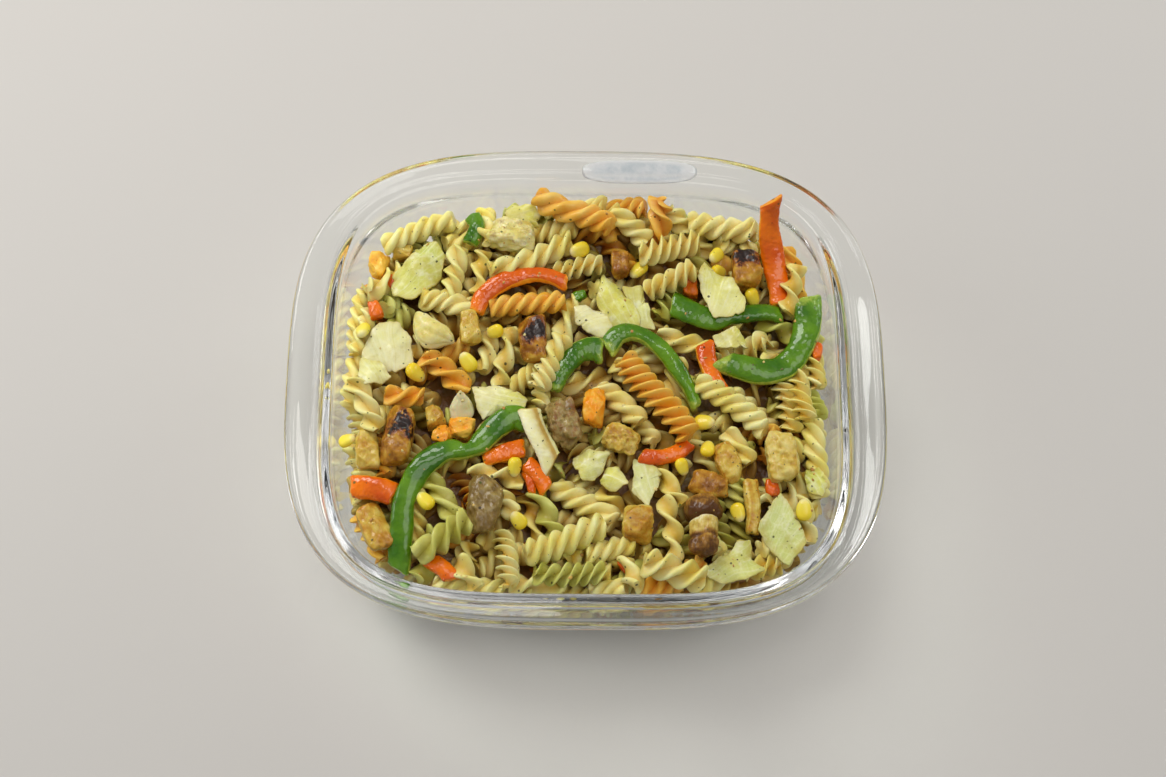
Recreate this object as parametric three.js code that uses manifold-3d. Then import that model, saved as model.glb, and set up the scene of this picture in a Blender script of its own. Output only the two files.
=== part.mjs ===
import * as THREE from 'three';
import { mergeVertices } from 'three/addons/utils/BufferGeometryUtils.js';
import Module from 'manifold-3d';

// A clear glass casserole dish heaped with three-colour fusilli, sweetcorn and roasted vegetables.
// Millimetres, +Z up. The origin is the middle of the dish's underside, on the surface it stands on.
// +X runs along the dish's long side and +Y towards its back.

const wasm = await Module();
wasm.setup();

// Driving dimensions of the dish. Each outline is a rounded rectangle with half-length a,
// half-width b and squareness n (2 is an ellipse, larger is squarer).
const HEIGHT = 70;
const RIM = { a: 130, b: 112.3, n: 3.15 };
const MOUTH = { a: 110, b: 96.3, n: 4.06 };
const FOOT = { a: 86, b: 72.3, n: 3.6 };
const WALL = 4.6;
const FLOOR = 6;
const SIDES = 44;
const PAD = { x: 24, y: 104, halfLength: 24, halfWidth: 4.6, proud: 0.35 };

// Driving dimensions of the food. GAP is the room between the food and the glass, BED the room in the heap
// round a topping, and SLIVER the size of the slivers that cutting leaves and cleaning removes.
const GAP = 0.35;
const HEAP = { top: 51.5, edgeDrop: 3, sunk: 2, inset: 4, underside: 3 };
const FUSILLO = { radius: 5.4, length: 33, pitch: 22, blades: 3, stepTurn: 54, rest: 0.42 };
const KERNEL = { long: 4.7, wide: 3.8, high: 3.1 };
const BED = 0.62;
const SLIVER = 0.002;

const COLOURS = {
  glass: { color: 0xdfe6e4, roughness: 0.06, metalness: 0 },
  pasta: { color: 0xd9c46c, roughness: 0.55, metalness: 0 },
  greenPepper: { color: 0x3c7a22, roughness: 0.3, metalness: 0 },
  redPepper: { color: 0xd9531c, roughness: 0.35, metalness: 0 },
  carrot: { color: 0xe88a22, roughness: 0.45, metalness: 0 },
  cabbage: { color: 0xdcd989, roughness: 0.45, metalness: 0 },
  roasted: { color: 0xa8752f, roughness: 0.5, metalness: 0 },
  mushroom: { color: 0x8a7350, roughness: 0.5, metalness: 0 },
};

// Seeded random numbers between 0 and 1, so that every build is the same.
function randomFrom(seed) {
  let state = seed;
  return () => {
    state = (state + 0x6d2b79f5) | 0;
    let mixed = Math.imul(state ^ (state >>> 15), 1 | state);
    mixed = (mixed + Math.imul(mixed ^ (mixed >>> 7), 61 | mixed)) ^ mixed;
    return ((mixed ^ (mixed >>> 14)) >>> 0) / 4294967296;
  };
}

const degrees = THREE.MathUtils.degToRad;
const mix = THREE.MathUtils.lerp;

// How far a rounded rectangle reaches from its middle in one direction.
function reach({ a, b, n }, angle) {
  const along = Math.abs(Math.cos(angle) / a) ** n;
  const across = Math.abs(Math.sin(angle) / b) ** n;
  return (along + across) ** (-1 / n);
}

// Directions of the facets round the dish, closer together round its corners than along its sides.
const DIRECTIONS = Array.from({ length: SIDES }, (_, i) => {
  const turn = (2 * Math.PI * i) / SIDES;
  const evenness = 0.75;
  const x = Math.sign(Math.cos(turn)) * Math.abs(Math.cos(turn)) ** evenness * RIM.a;
  const y = Math.sign(Math.sin(turn)) * Math.abs(Math.sin(turn)) ** evenness * RIM.b;
  return Math.atan2(y, x);
});

// One ring of points round the dish; height is a number or a function of x and y.
function ring(outline, height, inset = 0, directions = DIRECTIONS) {
  const drawn = { a: outline.a - inset, b: outline.b - inset, n: outline.n };
  return directions.map((angle) => {
    const x = reach(drawn, angle) * Math.cos(angle);
    const y = reach(drawn, angle) * Math.sin(angle);
    return new THREE.Vector3(x, y, typeof height === 'function' ? height(x, y) : height);
  });
}

// A closed skin over rows of points. Each row runs counterclockwise round the way the rows advance,
// and a row of one point is a pole. A first or last row of more points is closed over its middle.
function skin(rows) {
  const middle = (row) => row.reduce((sum, p) => sum.add(p), new THREE.Vector3()).divideScalar(row.length);
  const all = [...rows];
  if (all[0].length > 1) all.unshift([middle(all[0])]);
  if (all[all.length - 1].length > 1) all.push([middle(all[all.length - 1])]);
  const positions = [];
  const starts = [];
  for (const row of all) {
    starts.push(positions.length / 3);
    for (const p of row) positions.push(p.x, p.y, p.z);
  }
  const index = [];
  for (let r = 0; r + 1 < all.length; r += 1) {
    const count = Math.max(all[r].length, all[r + 1].length);
    for (let i = 0; i < count; i += 1) {
      const next = (i + 1) % count;
      const [low, high] = [starts[r], starts[r + 1]];
      if (all[r].length === 1) index.push(low, high + next, high + i);
      else if (all[r + 1].length === 1) index.push(low + i, low + next, high);
      else index.push(low + i, low + next, high + next, low + i, high + next, high + i);
    }
  }
  const geometry = new THREE.BufferGeometry();
  geometry.setAttribute('position', new THREE.Float32BufferAttribute(positions, 3));
  geometry.setIndex(index);
  return geometry;
}

// A copy of a geometry with its positions alone and its shared corners merged.
function welded(geometry) {
  const bare = geometry.clone();
  bare.deleteAttribute('normal');
  bare.deleteAttribute('uv');
  return mergeVertices(bare, 1e-4);
}

// A geometry as a solid that can be joined and cut.
function solid(geometry) {
  const merged = welded(geometry);
  return new wasm.Manifold(new wasm.Mesh({
    numProp: 3,
    vertProperties: new Float32Array(merged.getAttribute('position').array),
    triVerts: new Uint32Array(merged.getIndex().array),
  }));
}

// A solid back as a geometry.
function geometryOf(body) {
  const mesh = body.getMesh();
  const geometry = new THREE.BufferGeometry();
  geometry.setAttribute('position', new THREE.BufferAttribute(mesh.vertProperties, 3));
  geometry.setIndex(new THREE.BufferAttribute(mesh.triVerts, 1));
  geometry.computeVertexNormals();
  return geometry;
}

// The same shape swollen: each corner moves out along its own normal.
function swollen(geometry, distance) {
  const merged = welded(geometry);
  merged.computeVertexNormals();
  const position = merged.getAttribute('position');
  const normal = merged.getAttribute('normal');
  for (let i = 0; i < position.count; i += 1) {
    const point = new THREE.Vector3().fromBufferAttribute(position, i);
    point.addScaledVector(new THREE.Vector3().fromBufferAttribute(normal, i), distance);
    position.setXYZ(i, point.x, point.y, point.z);
  }
  return merged;
}

// The largest closed body of a solid: loose scraps go, and so do sealed hollows.
function largest(body) {
  const pieces = body.decompose();
  return pieces.reduce((best, piece) => (piece.volume() > best.volume() ? piece : best));
}

// One closed body without slivers.
function cleaned(body) {
  return largest(largest(body).simplify(SLIVER));
}

function overlaps(first, second) {
  const [a, b] = [first.boundingBox(), second.boundingBox()];
  return [0, 1, 2].every((axis) => a.min[axis] < b.max[axis] && b.min[axis] < a.max[axis]);
}

// The inner wall's outline at each height, from the mouth down to the rounded corner of the floor.
const INNER = [
  { drop: 0, z: HEIGHT - 3.6 },
  { drop: 1.6, z: 50 },
  { drop: 4.4, z: 27 },
  { drop: 9.5, z: 14 },
  { drop: 17, z: 8 },
  { drop: 26, z: FLOOR },
].map(({ drop, z }) => ({ a: MOUTH.a - drop, b: MOUTH.b - drop, n: MOUTH.n - drop * 0.02, z }));

// The inner wall's outline at any height, straight between the heights above.
function innerAt(z) {
  const below = INNER.findIndex((level) => level.z <= z);
  if (below <= 0) return INNER[below === 0 ? 0 : INNER.length - 1];
  const [high, low] = [INNER[below - 1], INNER[below]];
  const t = (z - low.z) / (high.z - low.z);
  return { a: mix(low.a, high.a, t), b: mix(low.b, high.b, t), n: mix(low.n, high.n, t) };
}

// An outline part of the way across the rim, from its outer edge at 0 to the mouth at 1.
function acrossRim(t) {
  return { a: mix(RIM.a, MOUTH.a, t), b: mix(RIM.b, MOUTH.b, t), n: mix(RIM.n, MOUTH.n, t) };
}

// The glass dish: one wall lathed round a rounded rectangle, from the middle of its foot up the outside,
// over the rim with its edge bead and lid step, and down the inside to the middle of its floor.
function dish() {
  const rimTop = [
    { t: 0.06, z: HEIGHT - 5 }, { t: 0, z: HEIGHT - 2.6 }, { t: 0.06, z: HEIGHT - 0.5 },
    { t: 0.16, z: HEIGHT }, { t: 0.62, z: HEIGHT - 1.1 }, { t: 0.72, z: HEIGHT - 2.4 },
    { t: 0.9, z: HEIGHT - 2.6 },
  ];
  const outside = INNER.filter((level) => level.z > 12 && level.z < 60).reverse();
  const rows = [
    [new THREE.Vector3(0, 0, 0)],
    ring(FOOT, 0),
    ring({ a: FOOT.a + 9, b: FOOT.b + 9, n: 3.7 }, 3.4),
    ...outside.map((level) => ring(level, level.z - 1, -WALL)),
    ring(acrossRim(0.72), HEIGHT - 9.5),
    ...rimTop.map(({ t, z }) => ring(acrossRim(t), z)),
    ...INNER.map((level) => ring(level, level.z)),
    [new THREE.Vector3(0, 0, FLOOR)],
  ];
  const plateau = new THREE.Shape().absellipse(0, 0, PAD.halfLength, PAD.halfWidth, 0, 2 * Math.PI);
  const deep = 2.5;
  const pad = new THREE.ExtrudeGeometry(plateau, { depth: deep, bevelEnabled: false, curveSegments: 10 });
  pad.translate(PAD.x, PAD.y, HEIGHT - 0.6 + PAD.proud - deep);
  return geometryOf(solid(skin(rows)).add(solid(pad)));
}

// The free space in and above the dish, its own gap inside the glass.
function freeSpace() {
  const above = HEIGHT + GAP;
  const rows = [
    [new THREE.Vector3(0, 0, FLOOR + GAP)],
    ...[...INNER].reverse().map((level) => ring(level, level.z + (level.z < 20 ? GAP : 0), GAP)),
    ring(MOUTH, above, GAP),
    ring(RIM, above + 0.1),
    ring(RIM, above + 30),
  ];
  return solid(skin(rows));
}

// Where the heap sits lower or higher than a plain mound: low in the corners, high at the back.
const SWELLS = [
  { x: -100, y: 86, rise: -9, spread: 30 },
  { x: 98, y: 82, rise: -7, spread: 27 },
  { x: -93, y: -84, rise: -8, spread: 25 },
  { x: 98, y: -82, rise: -4, spread: 22 },
  { x: -8, y: 90, rise: 7, spread: 30 },
];

// Height of the bare heap under the toppings: a mound that falls towards the wall, with gentle waves.
function mound(x, y) {
  const out = Math.min(1, (x / MOUTH.a) ** 4 + (y / MOUTH.b) ** 4);
  const wave = 1.1 * Math.sin(x / 21 + 1) * Math.cos(y / 17);
  const swells = SWELLS.map((s) => s.rise * Math.exp(-((x - s.x) ** 2 + (y - s.y) ** 2) / s.spread ** 2));
  return HEAP.top - HEAP.edgeDrop * out + wave + swells.reduce((sum, part) => sum + part, 0);
}

// The heap's own core, without its pieces: it follows the dish's inside, a little way in.
function heapCore() {
  const walls = INNER.filter((level) => level.z < 32).reverse();
  const shoulder = innerAt(44);
  const levels = [0.86, 0.62, 0.36];
  const coarse = DIRECTIONS.filter((_, i) => i % 2 === 0);
  const top = (x, y) => mound(x, y) - HEAP.sunk;
  const rows = [
    [new THREE.Vector3(0, 0, FLOOR + HEAP.underside)],
    ...walls.map((level) => ring(level, level.z + HEAP.underside, HEAP.inset, coarse)),
    ring(shoulder, (x, y) => top(x, y) - 2, HEAP.inset, coarse),
    ...levels.map((part) => {
      const inner = { a: shoulder.a * part, b: shoulder.b * part, n: mix(2, 4, part) };
      return ring(inner, top, 0, coarse);
    }),
    [new THREE.Vector3(0, 0, top(0, 0))],
  ];
  return solid(skin(rows));
}

// A fusillo: a section with one corner for each blade, which turns as it runs along a straight axis.
function fusillo({ at, z, heading, length = FUSILLO.length, radius = FUSILLO.radius, rise = 0, phase = 0 }) {
  const steps = Math.max(5, Math.round((360 * length) / FUSILLO.pitch / FUSILLO.stepTurn));
  const rows = [];
  for (let step = 0; step <= steps; step += 1) {
    const along = (step / steps - 0.5) * length;
    const turn = phase + (2 * Math.PI * along) / FUSILLO.pitch;
    const row = [];
    for (let i = 0; i < FUSILLO.blades; i += 1) {
      const angle = turn + (2 * Math.PI * i) / FUSILLO.blades;
      row.push(new THREE.Vector3(along, radius * Math.cos(angle), radius * Math.sin(angle)));
    }
    rows.push(row);
  }
  const place = new THREE.Matrix4().makeRotationZ(degrees(heading));
  place.multiply(new THREE.Matrix4().makeRotationY(-degrees(rise)));
  place.setPosition(at[0], at[1], z);
  return skin(rows).applyMatrix4(place);
}

// A sweetcorn kernel: a flattened bead.
function kernel({ at, z, heading }) {
  const bead = new THREE.OctahedronGeometry(1, 1).scale(KERNEL.long, KERNEL.wide, KERNEL.high);
  return bead.rotateZ(degrees(heading)).translate(at[0], at[1], z);
}

// A strip's section, from edge over the skin side to the other edge and back below, in halves of its width
// and thickness; its ends start at a share of that and grow along the path.
const STRIP = {
  section: [[1, -0.35], [0.62, 0.75], [-0.62, 0.75], [-1, -0.35], [-0.55, -1], [0.55, -1]],
  step: 7.5,
  endScale: 0.62,
  endGrowth: 2.4,
};

// A pepper strip or rib: a flattened six-sided section along a smooth path on the heap.
// The path gives x, y and the height above the bare heap; width runs from one end's to the other's.
function strip({ path, width, thick }) {
  const points = path.map(([x, y, lift]) => new THREE.Vector3(x, y, mound(x, y) + lift));
  const curve = new THREE.CatmullRomCurve3(points, false, 'centripetal');
  const steps = Math.max(4, Math.round(curve.getLength() / STRIP.step));
  const rows = [];
  for (let step = 0; step <= steps; step += 1) {
    const t = step / steps;
    const centre = curve.getPointAt(t);
    const ahead = curve.getTangentAt(t);
    const side = new THREE.Vector3(0, 0, 1).cross(ahead).normalize();
    const up = ahead.clone().cross(side);
    const end = Math.min(1, STRIP.endScale + STRIP.endGrowth * Math.min(t, 1 - t));
    const half = (mix(width[0], width[1], t) / 2) * end;
    const deep = (thick / 2) * end;
    const corner = ([s, u]) => centre.clone().addScaledVector(side, s * half).addScaledVector(up, u * deep);
    rows.push(STRIP.section.map(corner));
  }
  return skin(rows);
}

// A leaf: a thin wavy sheet over an outline of corners, both faces split into triangles alike.
// It is lifted above the bare heap at its middle, tipped by a slope along x and y, and cupped.
function leaf({ outline, lift, slope = [0, 0], cup = 0, wave = 0.8, thick = 1.8 }) {
  const middle = outline.reduce(([x, y], corner) => [x + corner[0], y + corner[1]], [0, 0])
    .map((sum) => sum / outline.length);
  const base = mound(middle[0], middle[1]) + lift;
  const sheet = (corner, out, below) => {
    const x = mix(middle[0], corner[0], out);
    const y = mix(middle[1], corner[1], out);
    const tip = slope[0] * (x - middle[0]) + slope[1] * (y - middle[1]);
    const ripple = wave * Math.sin(x / 3.1 + y / 4.3);
    return new THREE.Vector3(x, y, base + tip + cup * out ** 2 + ripple - below);
  };
  const row = (out, below) => outline.map((corner) => sheet(corner, out, below));
  const pole = (below) => [sheet(middle, 0, below)];
  return skin([pole(thick), row(0.55, thick), row(1, thick), row(1, 0), row(0.55, 0), pole(0)]);
}

// A chunk: a box of three sizes with its edges rounded off and its faces left uneven.
function chunk({ at, size, turn = 0, tip = 0, lift, square = 4.5, seed = 1 }) {
  const random = randomFrom(seed);
  const lump = welded(new THREE.BoxGeometry(2, 2, 2, 2, 2, 2));
  const position = lump.getAttribute('position');
  for (let i = 0; i < position.count; i += 1) {
    const point = new THREE.Vector3().fromBufferAttribute(position, i);
    const powers = [point.x, point.y, point.z].map((v) => Math.abs(v) ** square);
    const norm = (powers[0] + powers[1] + powers[2]) ** (1 / square);
    point.multiplyScalar((0.94 + 0.12 * random()) / norm);
    position.setXYZ(i, point.x * size[0] / 2, point.y * size[1] / 2, point.z * size[2] / 2);
  }
  const z = mound(at[0], at[1]) - HEAP.sunk + (lift ?? 0.6) + size[2] / 2;
  return lump.rotateX(degrees(tip)).rotateZ(degrees(turn)).translate(at[0], at[1], z);
}

// A whole small mushroom lying on its side: a lathed cap and stem.
function mushroom({ at, turn, length, radius, lift, tip }) {
  const cap = [[0, 0], [0.55, 0.05], [0.92, 0.2], [1, 0.38], [0.86, 0.47]];
  const profile = [...cap, [0.5, 0.5], [0.44, 0.8], [0.5, 1], [0, 1]];
  const place = ([out, along]) => new THREE.Vector2(out * radius, (0.5 - along) * length);
  const body = new THREE.LatheGeometry(profile.map(place).reverse(), 10);
  body.rotateX(degrees(tip)).rotateZ(degrees(turn));
  return body.translate(at[0], at[1], mound(at[0], at[1]) + lift);
}

// The toppings, from those that lie on others down to those that others lie on.
const TOPPINGS = [
  { name: 'cabbage_over_pepper', colour: 'cabbage', make: leaf, lift: 7, slope: [0.03, 0.02], thick: 2.2,
    outline: [[57, 33.5], [71, 36.5], [71.5, 42], [66, 55], [57.5, 56], [53, 62.5], [49.5, 54], [53, 42]] },
  { name: 'cabbage_rib', colour: 'cabbage', make: strip, width: [9, 8], thick: 2.6,
    path: [[-25, -10, 6.8], [-21.5, -20, 7], [-16.5, -30, 6.2], [-14.5, -36, 4.5]] },
  { name: 'pepper_green_front', colour: 'greenPepper', make: strip, width: [10, 10.5], thick: 5.4,
    path: [[-80.5, -80, 0], [-79, -65, 3], [-78, -52, 4], [-74.5, -42, 4.2], [-68.5, -34, 4.4],
      [-60.5, -29, 4.4],
      [-52, -29, 4.2], [-46, -25, 4], [-39, -17, 4], [-32, -13, 3.6], [-25.5, -15, 2.2]] },
  { name: 'pepper_green_right', colour: 'greenPepper', make: strip, width: [11, 12.5], thick: 5.6,
    path: [[59.5, 15, 3.6], [68, 12, 4], [78, 10.3, 4.2], [86.5, 12.3, 4.4], [93.5, 18.5, 4.6], [97.8, 27, 5],
      [99.6, 37, 5.4], [99.4, 46, 6]] },
  { name: 'pepper_green_arch', colour: 'greenPepper', make: strip, width: [9, 6], thick: 5,
    path: [[9.5, 20, 2.6], [14, 26.5, 3.8], [20.5, 28, 4.2], [28, 25, 4.4], [35, 18.5, 4.2], [40.5, 10, 4],
      [45, 2, 3.6], [49, -7, 2.6]] },
  { name: 'pepper_red_arch', colour: 'redPepper', make: strip, width: [6, 7.5], thick: 5,
    path: [[-49, 37.5, 2.6], [-45.5, 45, 3.8], [-38.5, 51, 4.4], [-30, 54.5, 4.6], [-22, 55.5, 4.6],
      [-14, 54, 4.2], [-8.5, 51.5, 3.4]] },
  { name: 'cabbage_white_middle', colour: 'cabbage', make: leaf, lift: 5.4, cup: -1.4, thick: 2.4,
    outline: [[9, 24.5], [12, 31], [10, 38], [0, 41.5], [-6, 40], [-5, 33], [0, 28]] },
  { name: 'cabbage_yellow_middle', colour: 'cabbage', make: leaf, lift: 4.6, cup: -1.6, thick: 2.2,
    outline: [[12, 29], [24, 29], [25, 38], [20, 45], [15, 52], [8, 58.5], [5, 50], [4.5, 42]] },
  { name: 'cabbage_pale_middle', colour: 'cabbage', make: leaf, lift: 3.2, cup: -1, thick: 2,
    outline: [[22, 30], [31.5, 31], [29, 40], [25.5, 53], [16, 52], [19, 40]] },
  { name: 'cabbage_square', colour: 'cabbage', make: leaf, lift: 4.6, slope: [0, 0.05], thick: 2.2,
    outline: [[58.5, 20.5], [73, 21], [70, 27], [67, 32], [56, 27]] },
  { name: 'pepper_green_dark', colour: 'greenPepper', make: strip, width: [11.5, 7], thick: 4.4,
    path: [[38.5, 43, 2.6], [47, 39, 3], [57, 35.5, 2.6], [66, 36.5, 2.4], [74, 38.5, 2.8],
      [81, 39.3, 3], [87.5, 38.5, 2.4]] },
  { name: 'pepper_green_thin', colour: 'greenPepper', make: strip, width: [5.5, 12], thick: 4.8,
    path: [[-14, 0, 2.6], [-11, 7.5, 3.4], [-7, 14, 3.6], [-2, 18.5, 3.4], [3.5, 20, 3], [7.5, 19, 2.4]] },
  { name: 'pepper_green_back', colour: 'greenPepper', make: strip, width: [8, 8], thick: 5,
    path: [[-51.5, 86.5, 4], [-49.5, 80, 4.4], [-52.5, 72.5, 2]] },
  { name: 'pepper_red_upright', colour: 'redPepper', make: strip, width: [9, 6.5], thick: 4.2,
    path: [[88, 43, 2], [86.4, 52, 3.6], [85, 61, 7], [83.4, 69, 12], [81.2, 76.5, 20], [81.4, 82, 27],
      [83, 85.4, 33.5]] },
  { name: 'cabbage_diamond', colour: 'cabbage', make: leaf, lift: 6, slope: [-0.05, 0.08], thick: 2.2,
    outline: [[87, -80], [95.5, -69], [90.5, -57], [84.5, -46], [77, -56.5], [73, -64.5], [80, -75]] },
  { name: 'cabbage_curly_front', colour: 'cabbage', make: leaf, lift: 4.8, wave: 1.6, thick: 1.8,
    outline: [[52, -86], [60, -88], [69, -86], [77, -81.5], [71, -76], [71, -68.5], [65.5, -68], [61, -74],
      [55, -77.5], [48.5, -82]] },
  { name: 'cabbage_white_left', colour: 'cabbage', make: leaf, lift: 5.2, cup: -1.4, thick: 2.4,
    outline: [[-49, -6], [-45, -15], [-38, -9], [-27, -9], [-24.5, -4], [-30, -0.5], [-42, 3.5],
      [-50, 2.5]] },
  { name: 'cabbage_cream_left', colour: 'cabbage', make: leaf, lift: 7.2, slope: [0, -0.05], cup: -1,
    thick: 2.2, outline: [[-85, 6], [-90, 13], [-99, 15], [-101, 6], [-97, 0.5], [-90, 2]] },
  { name: 'cabbage_pale_left', colour: 'cabbage', make: leaf, lift: 5.2, cup: -2, thick: 2.4,
    outline: [[-76, 12], [-77, 25], [-83, 34], [-92, 34], [-98, 23], [-100, 14], [-92, 9], [-85, 8]] },
  { name: 'onion_chunk', colour: 'cabbage', make: chunk,
    at: [-68.5, 28], size: [23, 14, 11], turn: -38, seed: 11 },
  { name: 'cabbage_green_back_left', colour: 'cabbage', make: leaf, lift: 6, cup: -2.4, thick: 2.4,
    outline: [[-66, 53], [-63, 65], [-67, 74], [-73, 73], [-81, 65], [-88, 57], [-87, 45.5], [-77, 44]] },
  { name: 'cabbage_back', colour: 'cabbage', make: leaf, lift: 5, slope: [0, 0.12], cup: -1.5, thick: 2,
    outline: [[-21, 80], [-20, 86], [-26, 91], [-33, 91], [-37.5, 86], [-36, 82]] },
  { name: 'speckled_chunk', colour: 'roasted', make: chunk,
    at: [-33, 75.5], size: [21, 14, 12], turn: -8, seed: 12 },
  { name: 'onion_cap', colour: 'cabbage', make: chunk,
    at: [-55.5, -5.5], size: [11, 11, 8], turn: 8, lift: 3, seed: 13 },
  { name: 'carrot_cube_right', colour: 'carrot', make: chunk,
    at: [-54.5, -17.5], size: [11, 9, 8], turn: -12, seed: 14 },
  { name: 'carrot_cube_left', colour: 'carrot', make: chunk,
    at: [-62.5, -21], size: [8, 8, 8], turn: -25, seed: 15 },
  { name: 'roasted_cube_left', colour: 'roasted', make: chunk,
    at: [-66, -12], size: [8, 10, 8], turn: 12, seed: 16 },
  { name: 'charred_cube', colour: 'roasted', make: chunk,
    at: [-23.5, 23], size: [12.5, 21, 13], turn: 5, seed: 17 },
  { name: 'charred_wedge', colour: 'roasted', make: chunk,
    at: [-81.5, -22.5], size: [13, 27, 13], turn: -8, seed: 18 },
  { name: 'roasted_wedge_left', colour: 'roasted', make: chunk,
    at: [-95, -28], size: [10.5, 17, 9], turn: 8, seed: 19 },
  { name: 'pepper_red_band', colour: 'redPepper', make: strip, width: [10, 10.5], thick: 5,
    path: [[-101.5, -43.5, 2.6], [-91, -45.5, 3.4], [-82.5, -48.5, 2.6]] },
  { name: 'roasted_slice_left', colour: 'roasted', make: chunk,
    at: [-90.5, -62], size: [12, 21, 8], turn: 24, seed: 20 },
  { name: 'grey_chunk', colour: 'mushroom', make: chunk,
    at: [-9.5, -16], size: [13, 21, 12], turn: 14, seed: 21 },
  { name: 'carrot_middle', colour: 'carrot', make: chunk,
    at: [3.5, -8.5], size: [9.5, 16, 10], turn: -4, seed: 22 },
  { name: 'cabbage_lobe_front', colour: 'cabbage', make: leaf, lift: 5.4, cup: -1.8, thick: 2.4,
    outline: [[-2, -42], [4, -42], [8.5, -36], [11, -28.5], [1, -27.5], [-6, -30.5], [-5, -37]] },
  { name: 'cabbage_shard_front', colour: 'cabbage', make: leaf, lift: 3, cup: -1, thick: 2,
    outline: [[5, -42], [13, -46.5], [19, -43], [15, -34], [9.5, -35]] },
  { name: 'cabbage_clear_front', colour: 'cabbage', make: leaf, lift: 3.8, cup: -1, thick: 2,
    outline: [[20, -47], [27, -54], [31, -45], [34, -38], [28, -33], [20.5, -31]] },
  { name: 'roasted_chunk_middle', colour: 'roasted', make: chunk,
    at: [15.5, -23], size: [16, 12, 10], turn: -18, seed: 23 },
  { name: 'pepper_red_middle', colour: 'redPepper', make: strip, width: [7, 7], thick: 4,
    path: [[24, -29.5, 2], [32, -30.5, 2.6], [40, -28.5, 2.6], [45.5, -24, 2]] },
  { name: 'pepper_red_under_green', colour: 'redPepper', make: strip, width: [7, 8], thick: 4,
    path: [[-44.5, -32, 1], [-35, -28.5, 1.4], [-26.5, -26, 1.2]] },
  { name: 'pepper_red_end', colour: 'redPepper', make: strip, width: [7.5, 6.5], thick: 4.2,
    path: [[-25.5, -33, 1.8], [-20.5, -39, 2.6], [-17, -46.5, 2]] },
  { name: 'pepper_red_right', colour: 'redPepper', make: strip, width: [8.5, 6.5], thick: 4.4,
    path: [[53, 24, 2], [53.8, 16, 3], [56.5, 8, 3], [61, 0.5, 2]] },
  { name: 'pepper_red_front', colour: 'redPepper', make: strip, width: [7, 7], thick: 4.2,
    path: [[-67, -77, 3], [-61, -81, 3.6], [-55.5, -86, 3]] },
  { name: 'dark_topped_cube', colour: 'roasted', make: chunk,
    at: [72.5, 59.5], size: [13, 18, 13], turn: 4, seed: 24 },
  { name: 'mushroom_right', colour: 'mushroom', make: chunk,
    at: [85.5, -31], size: [14, 22, 12], turn: 4, seed: 25 },
  { name: 'cabbage_yellow_right', colour: 'cabbage', make: leaf, lift: 4.4, cup: -1.4, thick: 2.4,
    outline: [[96.5, -46], [102.5, -48.5], [106, -41], [101.5, -33.5], [96, -34.5], [94.5, -41]] },
  { name: 'mushroom_whole', colour: 'mushroom', make: mushroom,
    at: [50, -63], turn: 3, tip: -12, length: 29, radius: 8, lift: 6.6 },
  { name: 'roasted_cube_front', colour: 'roasted', make: chunk,
    at: [53.5, -43.5], size: [17, 11, 9], turn: -12, seed: 26 },
  { name: 'roasted_oval', colour: 'roasted', make: chunk,
    at: [62, -33], size: [9, 17, 9], turn: 16, square: 3, seed: 27 },
  { name: 'roasted_stem', colour: 'roasted', make: strip,
    width: [7, 6.5], thick: 6, path: [[71.5, -41, 2], [72.2, -53, 3], [71.6, -65, 2]] },
  { name: 'roasted_chunk_front', colour: 'roasted', make: chunk,
    at: [22.5, -61], size: [13, 16, 11], turn: -4, seed: 28 },
  { name: 'mushroom_grey', colour: 'mushroom', make: chunk,
    at: [-43.5, -54.5], size: [14, 24, 12], turn: -5, seed: 29 },
  { name: 'orange_cube_back_left', colour: 'carrot', make: chunk,
    at: [-94, 64], size: [8.5, 11, 9], turn: -12, seed: 30 },
  { name: 'roasted_cube_back_left', colour: 'roasted', make: chunk,
    at: [-83, 70], size: [9, 7, 8], turn: -8, seed: 31 },
  { name: 'roasted_cube_back', colour: 'roasted', make: chunk,
    at: [15.5, 62.5], size: [8, 12, 8], turn: 0, seed: 32 },
  { name: 'roasted_cube_middle_left', colour: 'roasted', make: chunk,
    at: [-51.5, 29.5], size: [9, 15, 9], turn: 6, seed: 33 },
  { name: 'roasted_sliver_right', colour: 'redPepper', make: chunk,
    at: [47, 53], size: [6.5, 13, 7], turn: 0, seed: 34 },
];

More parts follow.
